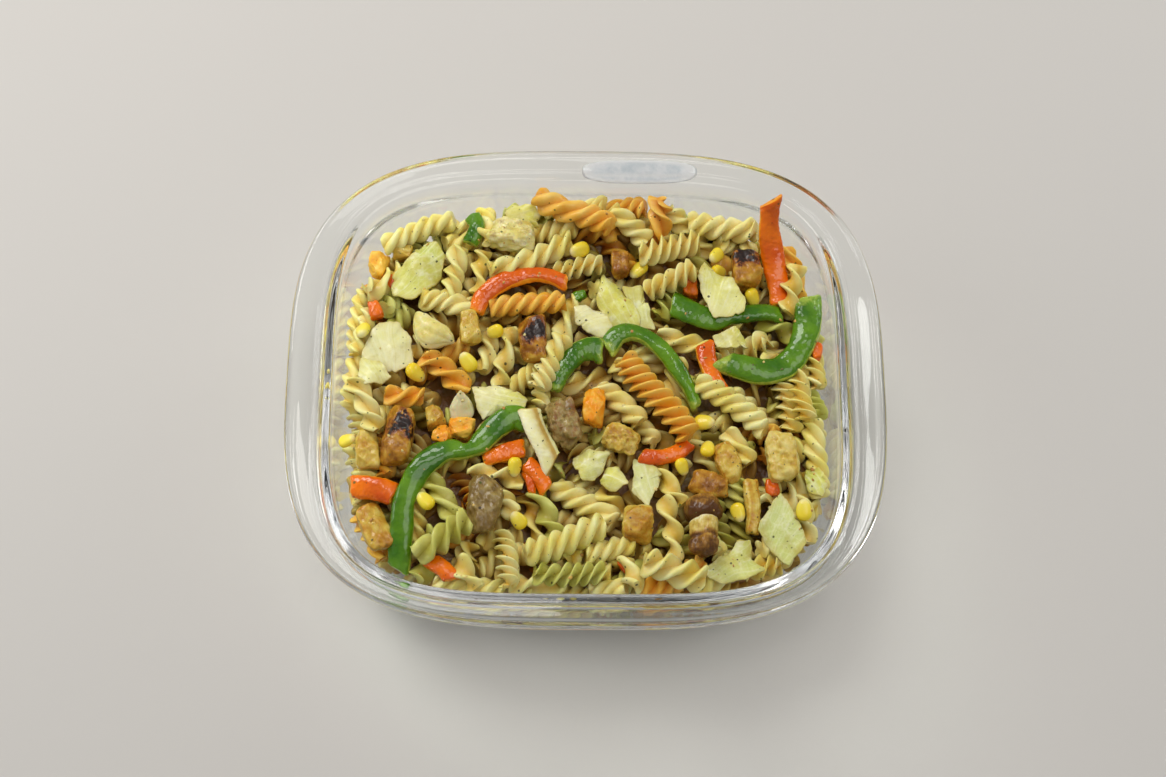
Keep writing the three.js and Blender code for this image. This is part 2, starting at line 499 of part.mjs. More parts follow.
// The largest fusilli that show on top: middle, heading in degrees, length, and where it differs, the radius,
// the rise of its far end in degrees and how much higher it lies than at rest on the bare heap.
const TOP_FUSILLI = [
  { at: [31, -4], heading: -52, length: 46, radius: 6.6, lift: 0.4 },
  { at: [-5, 86], heading: -22, length: 35, lift: 1 },
  { at: [37, -54], heading: -76, length: 42, radius: 4.8, lift: 0.6 },
  { at: [-9, -69], heading: 22, length: 34, radius: 6.4 },
  { at: [-76, 78], heading: 20, length: 34 },
  { at: [62, 81], heading: -4, length: 31, radius: 6 },
  { at: [-25, 66], heading: 25, length: 38 },
  { at: [64, -7], heading: -36, length: 34, radius: 6 },
  { at: [1, -51], heading: -32, length: 30, radius: 6 },
  { at: [-26, 42], heading: 4, length: 34, radius: 5.8 },
  { at: [100.5, -14], heading: -87, length: 36 },
  { at: [37, 71], heading: 18, length: 27, radius: 6.4 },
  { at: [-59, -68], heading: 30, length: 28, radius: 6 },
  { at: [-62, -50], heading: -58, length: 25 },
  { at: [38, -83], heading: -8, length: 26, radius: 6.2 },
  { at: [33, 84], heading: 92, length: 20, rise: 40, lift: 4 },
  { at: [-60, 57], heading: 80, length: 26 },
  { at: [-9, 33], heading: 78, length: 27 },
  { at: [37, 52], heading: 24, length: 22, radius: 5.6 },
  { at: [-97, -9], heading: -64, length: 27 },
  { at: [-16, 9], heading: 66, length: 24 },
  { at: [93, 61], heading: -80, length: 26 },
  { at: [-34, -78], heading: -80, length: 25 },
  { at: [-8, -84.5], heading: 4, length: 28 },
  { at: [-45, 85], heading: -62, length: 22, rise: -8 },
  { at: [-61, 41], heading: -18, length: 23 },
  { at: [88, -3], heading: 100, length: 20 },
];

// Sweetcorn kernels that show on top, by their middles.
const TOP_KERNELS = [
  [-4, 70], [24, 60], [60, 66.5], [-41, 30], [-103, -22], [-31, -38], [-28, -60], [52.5, -14],
  [65.5, -55], [93, -56],
];

// Fusilli against the glass, spread evenly round the wall in two rows, and a few flat on the floor.
function sideFusilli() {
  const random = randomFrom(77);
  const [around, heights] = [7, [18.5, 35]];
  const margin = 0.6;
  const list = [];
  for (let i = 0; i < around; i += 1) {
    const angle = (2 * Math.PI * (i + 0.4 * random())) / around;
    const z = heights[i % 2] + 2 * random();
    const out = reach(innerAt(z - FUSILLO.radius * 0.6), angle) - FUSILLO.radius - margin;
    const ahead = reach(innerAt(z), angle + 0.05);
    const behind = reach(innerAt(z), angle - 0.05);
    const step = [ahead * Math.cos(angle + 0.05) - behind * Math.cos(angle - 0.05),
      ahead * Math.sin(angle + 0.05) - behind * Math.sin(angle - 0.05)];
    const heading = THREE.MathUtils.radToDeg(Math.atan2(step[1], step[0]));
    list.push({ at: [out * Math.cos(angle), out * Math.sin(angle)], z, heading, length: 27 + 5 * random(),
      rise: 16 * (random() - 0.5), phase: 6 * random() });
  }
  const flat = 2;
  for (let i = 0; i < flat; i += 1) {
    const angle = (2 * Math.PI * (i + 0.3)) / flat;
    list.push({ at: [46 * Math.cos(angle), 38 * Math.sin(angle)], z: FLOOR + GAP + FUSILLO.radius,
      heading: 180 * random(), length: 28, phase: 6 * random() });
  }
  return list;
}

// The toppings, each cut where one that lies on it presses, and each inside the dish.
function fitToppings(space) {
  const fitted = [];
  for (const topping of TOPPINGS) {
    const plain = topping.make(topping);
    let body = solid(plain).intersect(space);
    for (const upper of fitted) {
      if (overlaps(body, upper.grown)) body = body.subtract(upper.grown);
    }
    const piece = cleaned(body);
    fitted.push({ ...topping, body: piece, grown: solid(swollen(plain, BED)) });
  }
  return fitted;
}

// The heap: its core with a bed for each topping, and the pasta and corn that show fused on.
// A piece is cut short where it meets a topping or the glass, and left out where little of it is left.
function heap(toppings, space) {
  const least = 0.45;
  const crossing = 0.02;
  const random = randomFrom(5);
  const resting = ({ at, radius = FUSILLO.radius, lift = 0 }) => (
    mound(...at) - HEAP.sunk + FUSILLO.rest * radius + lift);
  const topPieces = TOP_FUSILLI.map((piece) => fusillo({ ...piece, z: resting(piece), phase: 6 * random() }));
  const onCore = (at) => mound(...at) - HEAP.sunk + KERNEL.high / 2;
  const kernels = TOP_KERNELS.map((at) => kernel({ at, z: onCore(at), heading: 180 * random() }));
  const pieces = [...topPieces, ...kernels, ...sideFusilli().map(fusillo)];
  const kept = [];
  for (const piece of pieces) {
    const whole = solid(piece);
    let body = whole.intersect(space);
    for (const { grown } of toppings) {
      if (overlaps(body, grown)) body = body.subtract(grown);
    }
    const meets = kept.some((other) => overlaps(whole, other)
      && whole.intersect(other).volume() > crossing * whole.volume());
    const left = body.isEmpty() ? 0 : largest(body).volume();
    if (left > least * whole.volume() && !meets) kept.push(whole);
  }
  const joined = wasm.Manifold.union([heapCore(), ...kept]).intersect(space);
  const beds = wasm.Manifold.union(toppings.map(({ grown }) => grown));
  return geometryOf(cleaned(joined.subtract(beds)));
}

const part = new THREE.Group();

function addPiece(name, geometry, colour) {
  const piece = new THREE.Mesh(geometry, new THREE.MeshStandardMaterial(COLOURS[colour]));
  piece.name = name;
  part.add(piece);
}

const space = freeSpace();
const toppings = fitToppings(space);

addPiece('dish', dish(), 'glass');
addPiece('pasta_heap', heap(toppings, space), 'pasta');
for (const { name, body, colour } of toppings) addPiece(name, geometryOf(body), colour);

export default part;
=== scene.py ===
import math

import bpy
import numpy as np
from mathutils import Matrix, Vector
from mathutils.bvhtree import BVHTree


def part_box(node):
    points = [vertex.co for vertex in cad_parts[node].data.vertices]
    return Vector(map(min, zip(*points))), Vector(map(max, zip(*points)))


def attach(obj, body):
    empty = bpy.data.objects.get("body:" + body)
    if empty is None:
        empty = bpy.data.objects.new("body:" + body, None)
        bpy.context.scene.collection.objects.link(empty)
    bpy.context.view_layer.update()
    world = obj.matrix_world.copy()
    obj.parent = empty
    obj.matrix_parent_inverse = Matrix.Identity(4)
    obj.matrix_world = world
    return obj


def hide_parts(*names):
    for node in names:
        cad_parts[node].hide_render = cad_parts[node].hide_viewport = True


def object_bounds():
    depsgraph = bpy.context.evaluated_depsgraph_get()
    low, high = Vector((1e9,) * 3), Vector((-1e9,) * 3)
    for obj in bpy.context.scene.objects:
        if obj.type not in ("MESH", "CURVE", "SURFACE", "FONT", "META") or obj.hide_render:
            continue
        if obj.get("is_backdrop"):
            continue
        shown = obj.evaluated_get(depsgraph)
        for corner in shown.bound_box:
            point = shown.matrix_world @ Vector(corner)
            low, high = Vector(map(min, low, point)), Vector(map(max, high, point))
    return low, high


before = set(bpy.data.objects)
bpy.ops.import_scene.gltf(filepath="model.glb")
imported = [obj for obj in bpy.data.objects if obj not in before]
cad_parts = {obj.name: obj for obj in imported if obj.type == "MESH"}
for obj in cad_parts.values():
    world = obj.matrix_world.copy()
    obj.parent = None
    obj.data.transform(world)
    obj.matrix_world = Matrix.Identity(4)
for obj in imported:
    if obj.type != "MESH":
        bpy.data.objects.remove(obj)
cad_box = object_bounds()

# The dish. A two litre oblong casserole dish of clear pressed glass, its wall about 4.6 mm thick.
# The wide rim has a bead at its edge, a band, a step that seats a lid and one frosted oval at the back.

MM = 0.001
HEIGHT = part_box("dish")[1].z
RIM = (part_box("dish")[1].x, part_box("dish")[1].y, 3.15)
MOUTH = (110 * MM, 96.3 * MM, 4.06)
FOOT = (86 * MM, 72.3 * MM, 3.6)
WALL = 4.6 * MM
FLOOR = 6 * MM
# How far the inside stands in from the mouth at each height.
INSIDE = np.array([(0, 66.4), (0.4, 63), (1.6, 50), (4, 30), (6.2, 21), (10.5, 13), (17, 8), (26, 6)]) * MM
# By how much its squareness falls for each metre that it stands in.
ROUNDER = 20
OVAL = {"x": 24 * MM, "y": 102.1 * MM, "half_length": 26 * MM, "half_width": 5.35 * MM, "power": 2.8}
# How deep the rim's skin lies under its top, in mm, by the share of the way from the rim to the mouth.
RIM_DROPS = ((0.17, 0.05), (0.23, 0.75), (0.3, 0.95), (0.57, 1.0), (0.63, 1.15), (0.7, 1.7), (0.77, 2.3),
             (0.84, 2.65), (0.9, 2.75), (0.96, 3.2))


def reach(a, b, n, angle):
    """Distance from the middle to a rounded rectangle: (|cos/a|^n + |sin/b|^n)^(-1/n)."""
    return (np.abs(np.cos(angle) / a) ** n + np.abs(np.sin(angle) / b) ** n) ** (-1 / n)


def directions(count):
    """Angles round the dish, closer together at its corners: a superellipse walked with power 0.75."""
    turn = np.linspace(0, 2 * np.pi, count, endpoint=False)
    x = np.sign(np.cos(turn)) * np.abs(np.cos(turn)) ** 0.75 * RIM[0]
    y = np.sign(np.sin(turn)) * np.abs(np.sin(turn)) ** 0.75 * RIM[1]
    return np.arctan2(y, x)


def rings(rows, angles):
    """Rows of (half-length, half-width, squareness, height) as a grid of points, one ring for each row."""
    a, b, n, z = (rows[:, i, None] for i in range(4))
    out = reach(a, b, n, angles[None, :])
    return np.stack([out * np.cos(angles), out * np.sin(angles), np.broadcast_to(z, out.shape)], -1)


def through(points, count):
    """A smooth line through points: a Catmull-Rom curve, cubic between each pair, spaced by the index."""
    points = np.asarray(points, float)
    padded = np.vstack([2 * points[0] - points[1], points, 2 * points[-1] - points[-2]])
    place = np.linspace(0, len(points) - 1, count)
    start = np.minimum(place.astype(int), len(points) - 2)
    t = (place - start)[:, None]
    p0, p1, p2, p3 = (padded[start + i] for i in range(4))
    return 0.5 * (2 * p1 + (p2 - p0) * t + (2 * p0 - 5 * p1 + 4 * p2 - p3) * t**2
                  + (3 * p1 - p0 - 3 * p2 + p3) * t**3)


def tube_faces(pieces, rows, around):
    """Four-cornered faces between the rings of each piece, and the three-cornered fans at its two ends.
    Each piece has rows x around points and then one middle point for each end."""
    size = rows * around + 2
    first = np.arange(pieces)[:, None, None] * size
    low = first + np.arange(rows - 1)[None, :, None] * around
    j = np.arange(around)[None, None, :]
    k = (j + 1) % around
    quads = np.stack([low + j, low + k, low + around + k, low + around + j], -1).reshape(-1, 4)
    j, k, start = j[0], k[0], np.arange(pieces)[:, None] * size
    last = start + (rows - 1) * around
    near = np.stack([start + k, start + j, np.broadcast_to(start + size - 2, (pieces, around))], -1)
    far = np.stack([last + j, last + k, np.broadcast_to(start + size - 1, (pieces, around))], -1)
    return quads, np.concatenate([near.reshape(-1, 3), far.reshape(-1, 3)])


def mesh_object(name, points, quads, triangles, sharp=None, **values):
    """A mesh object from arrays of points and of four- and three-cornered faces, turned to face outwards,
    with named values for each point."""
    split = np.concatenate([quads[:, [0, 1, 2]], quads[:, [0, 2, 3]], triangles])
    a, b, c = (points[split[:, i]] for i in range(3))
    if np.einsum("ij,ij->", a, np.cross(b, c)) < 0:
        quads, triangles = quads[:, ::-1], triangles[:, ::-1]
    mesh = bpy.data.meshes.new(name)
    mesh.vertices.add(len(points))
    mesh.vertices.foreach_set("co", points.astype(np.float32).ravel())
    corners = np.concatenate([quads.ravel(), triangles.ravel()])
    mesh.loops.add(len(corners))
    mesh.loops.foreach_set("vertex_index", corners.astype(np.int32))
    starts = np.concatenate([np.arange(len(quads)) * 4, len(quads) * 4 + np.arange(len(triangles)) * 3])
    mesh.polygons.add(len(starts))
    mesh.polygons.foreach_set("loop_start", starts.astype(np.int32))
    mesh.update(calc_edges=True)
    mesh.validate()
    for key, value in values.items():
        layer = mesh.attributes.new(key, "FLOAT", "POINT")
        layer.data.foreach_set("value", np.asarray(value, np.float32).ravel())
    mesh.shade_smooth()
    if sharp:
        mesh.set_sharp_from_angle(angle=math.radians(sharp))
    made = bpy.data.objects.new(name, mesh)
    bpy.context.scene.collection.objects.link(made)
    return made


def dish_profile():
    """The wall's section as rows of (half-length, half-width, squareness, height): out along the foot, up the
    outside, round the rim's bead and lid step, and down the inside, with a smooth line through them all."""
    def across(t, z):
        rim = [r + (m - r) * t for r, m in zip(RIM, MOUTH)]
        return (*rim, HEIGHT - z * MM)

    def inside(drop, z, wall=0.0):
        return (MOUTH[0] - drop + wall, MOUTH[1] - drop + wall, MOUTH[2] - drop * ROUNDER, z)

    foot = [(FOOT[0] * s, FOOT[1] * s, FOOT[2], z * MM) for s, z in
            ((0.1, 0.9), (0.5, 0.9), (0.86, 0.8), (0.93, 0.25), (0.965, 0), (0.995, 0))]
    heel = [(FOOT[0] + d * MM, FOOT[1] + d * MM, FOOT[2] + 0.01 * d, z * MM)
            for d, z in ((3.5, 0.6), (9, 3.2), (13.6, 7.4))]
    outside = [inside(d, z - MM, WALL) for d, z in INSIDE[::-1] if 12 * MM < z < 60 * MM]
    neck = [across(0.8, 12.5), across(0.7, 9.4), across(0.5, 7.4), across(0.2, 5.9)]
    bead = [across(0.05, 5.1), across(0.0, 3.7), across(-0.002, 2.2), across(0.035, 0.7), across(0.1, 0.05)]
    band = [across(0.17, 0.05), across(0.23, 0.75), across(0.3, 0.95), across(0.45, 1.0), across(0.57, 1.0)]
    step = [across(0.625, 1.15), across(0.65, 2.3), across(0.69, 2.65), across(0.78, 2.7), across(0.86, 2.75),
            across(0.93, 3.1), across(0.975, 3.8)]
    wall = [inside(0.1 * MM, 64.9 * MM)] + [inside(d, z) for d, z in INSIDE[1:]]
    floor = [(60 * MM, 48 * MM, 3.2, FLOOR - 0.2 * MM), (20 * MM, 16 * MM, 3, FLOOR - 0.2 * MM)]
    return through(foot + heel + outside + neck + bead + band + step + wall + floor, 170)


def make_dish(around=288):
    """The wall's section carried round the dish, and closed at the middle of its foot and of its floor."""
    profile = np.clip(dish_profile(), 0, (RIM[0], RIM[1], np.inf, HEIGHT))
    grid = rings(profile, directions(around))
    middles = np.array([(0, 0, grid[0, 0, 2]), (0, 0, grid[-1, 0, 2])])
    points = np.vstack([grid.reshape(-1, 3), middles])
    return mesh_object("glass_dish", points, *tube_faces(1, len(grid), around))


class Shader:
    """The nodes of one material, or of one node group: makes nodes and joins their sockets."""

    def __init__(self, tree):
        self.tree = tree

    def node(self, kind, **settings):
        """A node of a kind, with its settings."""
        made = self.tree.nodes.new(kind)
        for key, value in settings.items():
            setattr(made, key, value)
        return made

    def give(self, value, socket):
        """Joins another socket to this one, or sets it to a plain value."""
        if isinstance(value, bpy.types.NodeSocket):
            self.tree.links.new(value, socket)
        else:
            socket.default_value = value

    def put(self, made, **inputs):
        """Gives named input sockets their values; an underscore stands for a space."""
        for key, value in inputs.items():
            self.give(value, made.inputs[key.replace("_", " ")])
        return made

    def math(self, operation, *values, clamp=False):
        """One sum, product or the like of values."""
        made = self.node("ShaderNodeMath", operation=operation, use_clamp=clamp)
        for socket, value in zip(made.inputs, values):
            self.give(value, socket)
        return made.outputs[0]

    def ramp(self, value, *stops):
        """A value read through a ramp of (place, grey or colour) stops."""
        made = self.node("ShaderNodeValToRGB")
        elements = made.color_ramp.elements
        while len(elements) < len(stops):
            elements.new(0.5)
        for element, (place, colour) in zip(elements, stops):
            element.position = place
            element.color = (*colour, 1) if hasattr(colour, "__len__") else (colour, colour, colour, 1)
        self.give(value, made.inputs["Fac"])
        return made.outputs["Color"]

    def mix(self, share, first, second, blend="MIX"):
        """Two colours mixed by a share, or blended by it in another way."""
        made = self.node("ShaderNodeMix", data_type="RGBA", blend_type=blend)
        for number, value in ((0, share), (6, first), (7, second)):
            self.give((*value, 1) if isinstance(value, tuple) else value, made.inputs[number])
        return made.outputs[2]

    def noise(self, place, scale, detail=2.0, roughness=0.5, one=False):
        """Noise in space, or along one value."""
        made = self.node("ShaderNodeTexNoise", noise_dimensions="1D" if one else "3D")
        self.put(made, Scale=scale, Detail=detail, Roughness=roughness)
        self.give(place, made.inputs["W" if one else "Vector"])
        return made.outputs["Fac"]

    def bump(self, strength, distance, height):
        """A surface's normals, pushed about by a height."""
        made = self.put(self.node("ShaderNodeBump"), Strength=strength, Distance=distance, Height=height)
        return made.outputs[0]

    def attribute(self, name):
        """A value that the mesh keeps for each point."""
        return self.node("ShaderNodeAttribute", attribute_name=name).outputs["Fac"]

    def place(self):
        """Where a point is on the object, in metres."""
        return self.node("ShaderNodeTexCoord").outputs["Object"]


def new_material(name):
    """A material with the nodes that colour it and its surface shader."""
    material = bpy.data.materials.new(name)
    material.use_nodes = True
    return material, Shader(material.node_tree), material.node_tree.nodes["Principled BSDF"]


def glass_material():
    """Clear glass, a little green, that lets its shadow's light through."""
    material, shade, surface = new_material("clear_glass")
    shade.put(surface, Base_Color=(0.975, 0.99, 0.985, 1), IOR=1.47)
    surface.inputs["Metallic"].default_value = 0
    surface.inputs["Transmission Weight"].default_value = 1
    surface.inputs["Roughness"].default_value = 0.02
    clear = shade.put(shade.node("ShaderNodeBsdfTransparent"), Color=(0.93, 0.96, 0.95, 1))
    either = shade.node("ShaderNodeMixShader")
    shade.give(shade.node("ShaderNodeLightPath").outputs["Is Shadow Ray"], either.inputs[0])
    shade.give(surface.outputs[0], either.inputs[1])
    shade.give(clear.outputs[0], either.inputs[2])
    shade.put(material.node_tree.nodes["Material Output"], Surface=either.outputs[0])
    return material


def make_oval(rows=36, around=96):
    """The frosted oval as a skin 0.3 mm thick that follows the back rim over its band and bridges its step.
    Its outline is |x|^2.8 + |y|^2.8 = 1, and how deep it lies under the rim's top goes by the way from rim
    to mouth. At its edge it dips under the rim's skin, by 0.22 mm times the 14th power of the way out."""
    angle = np.linspace(0, 2 * np.pi, around, endpoint=False)[None]
    out = reach(1, 1, OVAL["power"], angle)
    share = np.linspace(0.06, 1, rows // 2)
    share = np.concatenate([share, share[::-1]])[:, None]
    x = OVAL["x"] + OVAL["half_length"] * share * out * np.cos(angle)
    y = OVAL["y"] + OVAL["half_width"] * share * out * np.sin(angle)
    rim, mouth = (b * (1 - np.abs(x / a) ** n) ** (1 / n) for a, b, n in (RIM, MOUTH))
    drop = np.interp((rim - y) / (rim - mouth), *zip(*RIM_DROPS))
    upper, lower, dip = 0.1, -0.2, 0.22
    above = np.repeat([upper, lower], rows // 2)[:, None]
    above[:rows // 2] -= dip * share[:rows // 2] ** 14
    points = np.stack([x, y, HEIGHT + (above - drop) * MM], -1)
    points = np.vstack([points.reshape(-1, 3), points[[0, -1]].mean(1)])
    across = 0.5 + (points[:, 1] - OVAL["y"]) / OVAL["half_width"] / 2
    edge = np.append(np.repeat(share, around), (0, 0))
    return mesh_object("frosted_oval", points, *tube_faces(1, rows, around), across=across, edge=edge)


def frost_material():
    """Ground glass: a little milky, lit through, uneven in streaks, with painted highlights that make it
    whiter along its edge and in a band nearer the food, and a fine grain."""
    material, shade, surface = new_material("frosted_glass")
    where = shade.place()
    streak = shade.ramp(shade.noise(where, 160, 4, 0.7), (0.35, (0.7, 0.76, 0.8)), (0.65, (0.97, 0.98, 1)))
    # Painted highlight: white along the oval's edge and in a band nearer the food.
    painted_highlight = shade.math("MAXIMUM", shade.ramp(shade.attribute("edge"), (0.7, 0.0), (0.88, 0.9)),
                     shade.ramp(shade.attribute("across"), (0.22, 0.0), (0.32, 0.8), (0.44, 0.0)))
    colour = shade.mix(painted_highlight, streak, (1, 1, 1))
    shade.put(surface, Base_Color=colour, IOR=1.47, Roughness=0.5)
    surface.inputs["Metallic"].default_value = 0
    surface.inputs["Transmission Weight"].default_value = 0.66
    shade.put(surface, Normal=shade.bump(0.6, 0.0006, shade.noise(where, 700)))
    return material


def serve(made, finish, node):
    """Gives a piece its material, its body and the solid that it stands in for."""
    made.data.materials.append(finish)
    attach(made, "root")
    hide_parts(node)


serve(make_dish(), glass_material(), "dish")
serve(make_oval(), frost_material(), "dish")

# The heap's core. What is deep inside the food: dark oily pasta, its dark colour painted shade, that shows
# only as shadow in the gaps.
# It follows the mound of the food, 9.5 to 13 mm under it, and the inside of the dish.

# Where the heap lies high or low: middle x and y, rise and spread in mm.
SWELLS = [(-100, 86, -9, 30), (98, 82, -7, 27), (-93, -84, -8, 25), (98, -82, -4, 22), (-8, 90, 7, 30)]


def mound(x, y):
    """Height of the bare heap in metres: 51.5 mm, less 3 mm towards the wall by the fourth power of the way
    out, with gentle waves, plus a bell of given rise and spread wherever it lies high or low."""
    out = np.minimum(1, (x / MOUTH[0]) ** 4 + (y / MOUTH[1]) ** 4)
    high = 51.5 - 3 * out + 1.1 * np.sin(x / MM / 21 + 1) * np.cos(y / MM / 17)
    for at_x, at_y, rise, spread in SWELLS:
        high = high + rise * np.exp(-((x / MM - at_x) ** 2 + (y / MM - at_y) ** 2) / spread**2)
    return high * MM


def inside_at(z):
    """Half-length, half-width and squareness of the inside at a height, straight between its levels."""
    drop = np.interp(z, INSIDE[::-1, 1], INSIDE[::-1, 0])
    return MOUTH[0] - drop, MOUTH[1] - drop, MOUTH[2] - drop * ROUNDER


def make_core(around=96):
    """Rings up the dish's inside, 6 mm in, and over the top towards its middle, at the mound's height less
    9.5 mm at the brim and 13 mm further in."""
    aside = 6 * MM
    angles = directions(around)
    wall = []
    for z in np.array([17, 20, 24, 28, 32]) * MM:
        a, b, n = inside_at(z)
        wall.append((a - aside, b - aside, n, z))
    shoulder = wall[-1]
    shares = (1.0, 0.97, 0.93, 0.86, 0.75, 0.55, 0.35, 0.15)
    deep = np.array([9.5, 9.5, 10.5, 13, 13, 13, 13, 13]) * MM
    top = [(shoulder[0] * s, shoulder[1] * s, 2 + 2 * s, 0) for s in shares]
    grid = rings(np.array(wall + top), angles)
    over = grid[len(wall):]
    over[..., 2] = mound(over[..., 0], over[..., 1]) - deep[:, None]
    middles = [(0, 0, wall[0][3]), (0, 0, float(mound(0, 0)) - deep[-1])]
    points = np.vstack([grid.reshape(-1, 3), middles])
    return mesh_object("heap_core", points, *tube_faces(1, len(grid), around))


def core_material():
    """Deep pasta and juice, coloured dark red-brown to olive as painted shade, wet."""
    material, shade, surface = new_material("core_food_painted_shade")
    where = shade.place()
    # Painted shade: near black browns, so that the gaps between the pieces read as shadow.
    colour = shade.ramp(shade.noise(where, 70, 3), (0.3, (0.13, 0.045, 0.012)), (0.5, (0.28, 0.13, 0.03)),
                        (0.7, (0.2, 0.15, 0.035)))
    shade.put(surface, Base_Color=colour, Roughness=0.4,
              Normal=shade.bump(0.6, 0.003, shade.noise(where, 220, 2)))
    return material


serve(make_core(), core_material(), "pasta_heap")

# Fusilli. Cooked spirals, 9 to 13 mm across and 12 to 46 mm long: plain yellow ones, orange ones with tomato
# and green ones with spinach. The ones that show on top lie as in the photo, and the rest fill the heap below
# and the glass all round, pushed apart until each rests on its neighbours.

YELLOW, ORANGE, GREEN = 0, 1, 2
# How the blades came out: how many, the least and most length of one turn in mm, and the least and most half
# thickness of a blade as a share of the piece's radius.
FORMS = {
    "plump": (3, 16, 20, 0.42, 0.52),
    "broad": (3, 21, 25, 0.4, 0.48),
    "even": (3, 14.5, 18.5, 0.35, 0.43),
    "thin": (3, 13, 17, 0.2, 0.28),
    "loose": (3, 22, 30, 0.26, 0.34),
    "ribbon": (2, 21, 27, 0.24, 0.32),
}
# Middle x and y, heading in degrees, length, colour, radius, height of the middle above the mound, all in mm,
# then the form and how many degrees the far end rises.
SHOWN = [
    (-76, 78.5, 20, 34, YELLOW, 5.6, 4, "plump", 0), (-45, 85.5, -62, 24, YELLOW, 5.2, 3, "loose", 20),
    (-5, 84.5, -22, 36, ORANGE, 6.2, 5, "broad", 0), (19, 79.5, -35, 22, YELLOW, 5.6, 3, "broad", -12),
    (62, 81.5, -4, 31, YELLOW, 6, 4, "plump", 0), (37, 70, 18, 29, YELLOW, 6.5, 3, "thin", 0),
    (38, 53, 22, 25, YELLOW, 5.6, 1, "thin", 8), (-25, 66.5, 25, 39, YELLOW, 5.8, 3, "loose", 0),
    (-3, 60, 8, 22, YELLOW, 5.2, 1, "thin", 0), (37, 50, 70, 24, GREEN, 5.4, 0, "thin", 0),
    (-60, 57, 80, 26, YELLOW, 5.4, 2, "loose", 0), (-47, 58, 85, 21, YELLOW, 4.8, 2, "ribbon", 0),
    (-61, 42, -17, 24, YELLOW, 5.8, 2, "plump", 0), (-26, 42, 4, 34, ORANGE, 5.8, 2, "even", 0),
    (-8.5, 33, 77, 28, YELLOW, 5.4, 3, "loose", 0), (-16.5, 13, 67, 27, YELLOW, 5.6, 3, "plump", 0),
    (-36, 18, 83, 27, YELLOW, 4.8, 2, "ribbon", 10), (-45, 21, 80, 20, YELLOW, 5.0, 1, "loose", 0),
    (-62, 9, -38, 26, ORANGE, 6, 2, "loose", 0), (-80, -2, 8, 18, ORANGE, 5.6, 3, "loose", -18),
    (-97, -8.5, -65, 27, YELLOW, 5.4, 3, "loose", 0), (-99, 30, 78, 23, YELLOW, 4.8, 1, "even", 0),
    (13, -6.5, -37, 26, YELLOW, 5.6, 1, "broad", 0), (31, -4, -52, 46, ORANGE, 6.8, 5, "even", 0),
    (64, -6.5, -36, 36, YELLOW, 5.8, 4, "plump", 0), (89, -5, 100, 24, YELLOW, 5.4, 1, "thin", 0),
    (97, 2, 95, 30, YELLOW, 5.4, 4, "thin", 0), (100.5, -28, -86, 36, YELLOW, 5.4, 2, "plump", 0),
    (44, 27, -21, 22, YELLOW, 5.4, 0, "loose", 0), (1, -51, -31, 31, YELLOW, 6.4, 4, "broad", 0),
    (36, -41, -66, 26, YELLOW, 4.8, 4, "ribbon", 0), (36, -64, -84, 30, YELLOW, 4.8, 4, "ribbon", 0),
    (-9, -69, 21, 36, YELLOW, 6.6, 4, "plump", 0), (-62, -50, -58, 26, GREEN, 5.6, 1, "loose", 0),
    (-59, -68, 30, 28, GREEN, 6.2, 3, "loose", 12), (-70, -75, 80, 24, GREEN, 5.6, 1, "ribbon", 0),
    (-17, -56, -67, 23, GREEN, 5.4, 1, "ribbon", 0), (-7, -84, 4, 30, GREEN, 5.4, 2, "thin", 0),
    (-34, -78, -80, 27, YELLOW, 5.4, 3, "thin", 15), (38, -83, -9, 27, YELLOW, 7, 4, "loose", -25),
    (19, -84, -75, 18, YELLOW, 5.4, 2, "ribbon", 25), (11, -89, 0, 16, YELLOW, 5.0, 0, "plump", 30),
    (11, -72, 20, 22, YELLOW, 5.4, 1, "plump", 0), (51, -28, -61, 28, YELLOW, 5.4, 1, "ribbon", 0),
    (93.5, 61, -80, 26, ORANGE, 5.4, 3, "loose", 0), (93, 50, 80, 24, YELLOW, 5.4, 1, "ribbon", 0),
    (100, 13, 90, 18, YELLOW, 5.4, 2, "thin", 0), (95, -59, -80, 22, YELLOW, 5.4, 2, "ribbon", 0),
    (-19, -2, -80, 12, YELLOW, 5, 1, "even", 0), (66, -25, -60, 18, YELLOW, 5.2, 0, "loose", 0),
    (-39, -40, -14, 25, YELLOW, 5.2, 1, "ribbon", 0), (-34, -50, -60, 14, YELLOW, 5.2, 0, "loose", 0),
    (-52, -86, -70, 16, YELLOW, 5.4, 0, "ribbon", 0), (76, -78, 10, 16, YELLOW, 5.4, 0, "thin", 0),
    (33, 82, 92, 24, ORANGE, 5.8, 4.5, "loose", 48),
]
# Middle x and y of each sweetcorn kernel that shows, in mm.
KERNELS_SHOWN = [(-3, 68), (24, 61), (59, 67), (60, 59), (75, 46.5), (-40, 28), (-52, 14), (-75, 9),
                 (-104, -23), (-31, -37), (-29, -60), (-70, -51), (52, -14), (53, -27), (66, -56),
                 (94, -55), (42, -35), (-99, 28)]
# Pieces close to the wall that shut gaps there: x, y and heading.
FILLING = [(34, 87.5, 5), (63, 84, -8), (-62, 85, 15), (-100, 20, 90), (95, -62, 60)]
# Round the lower end of the front pepper strip no filling piece stands up: x, y and radius in mm.
STRIP_END = (-82, -80, 13)


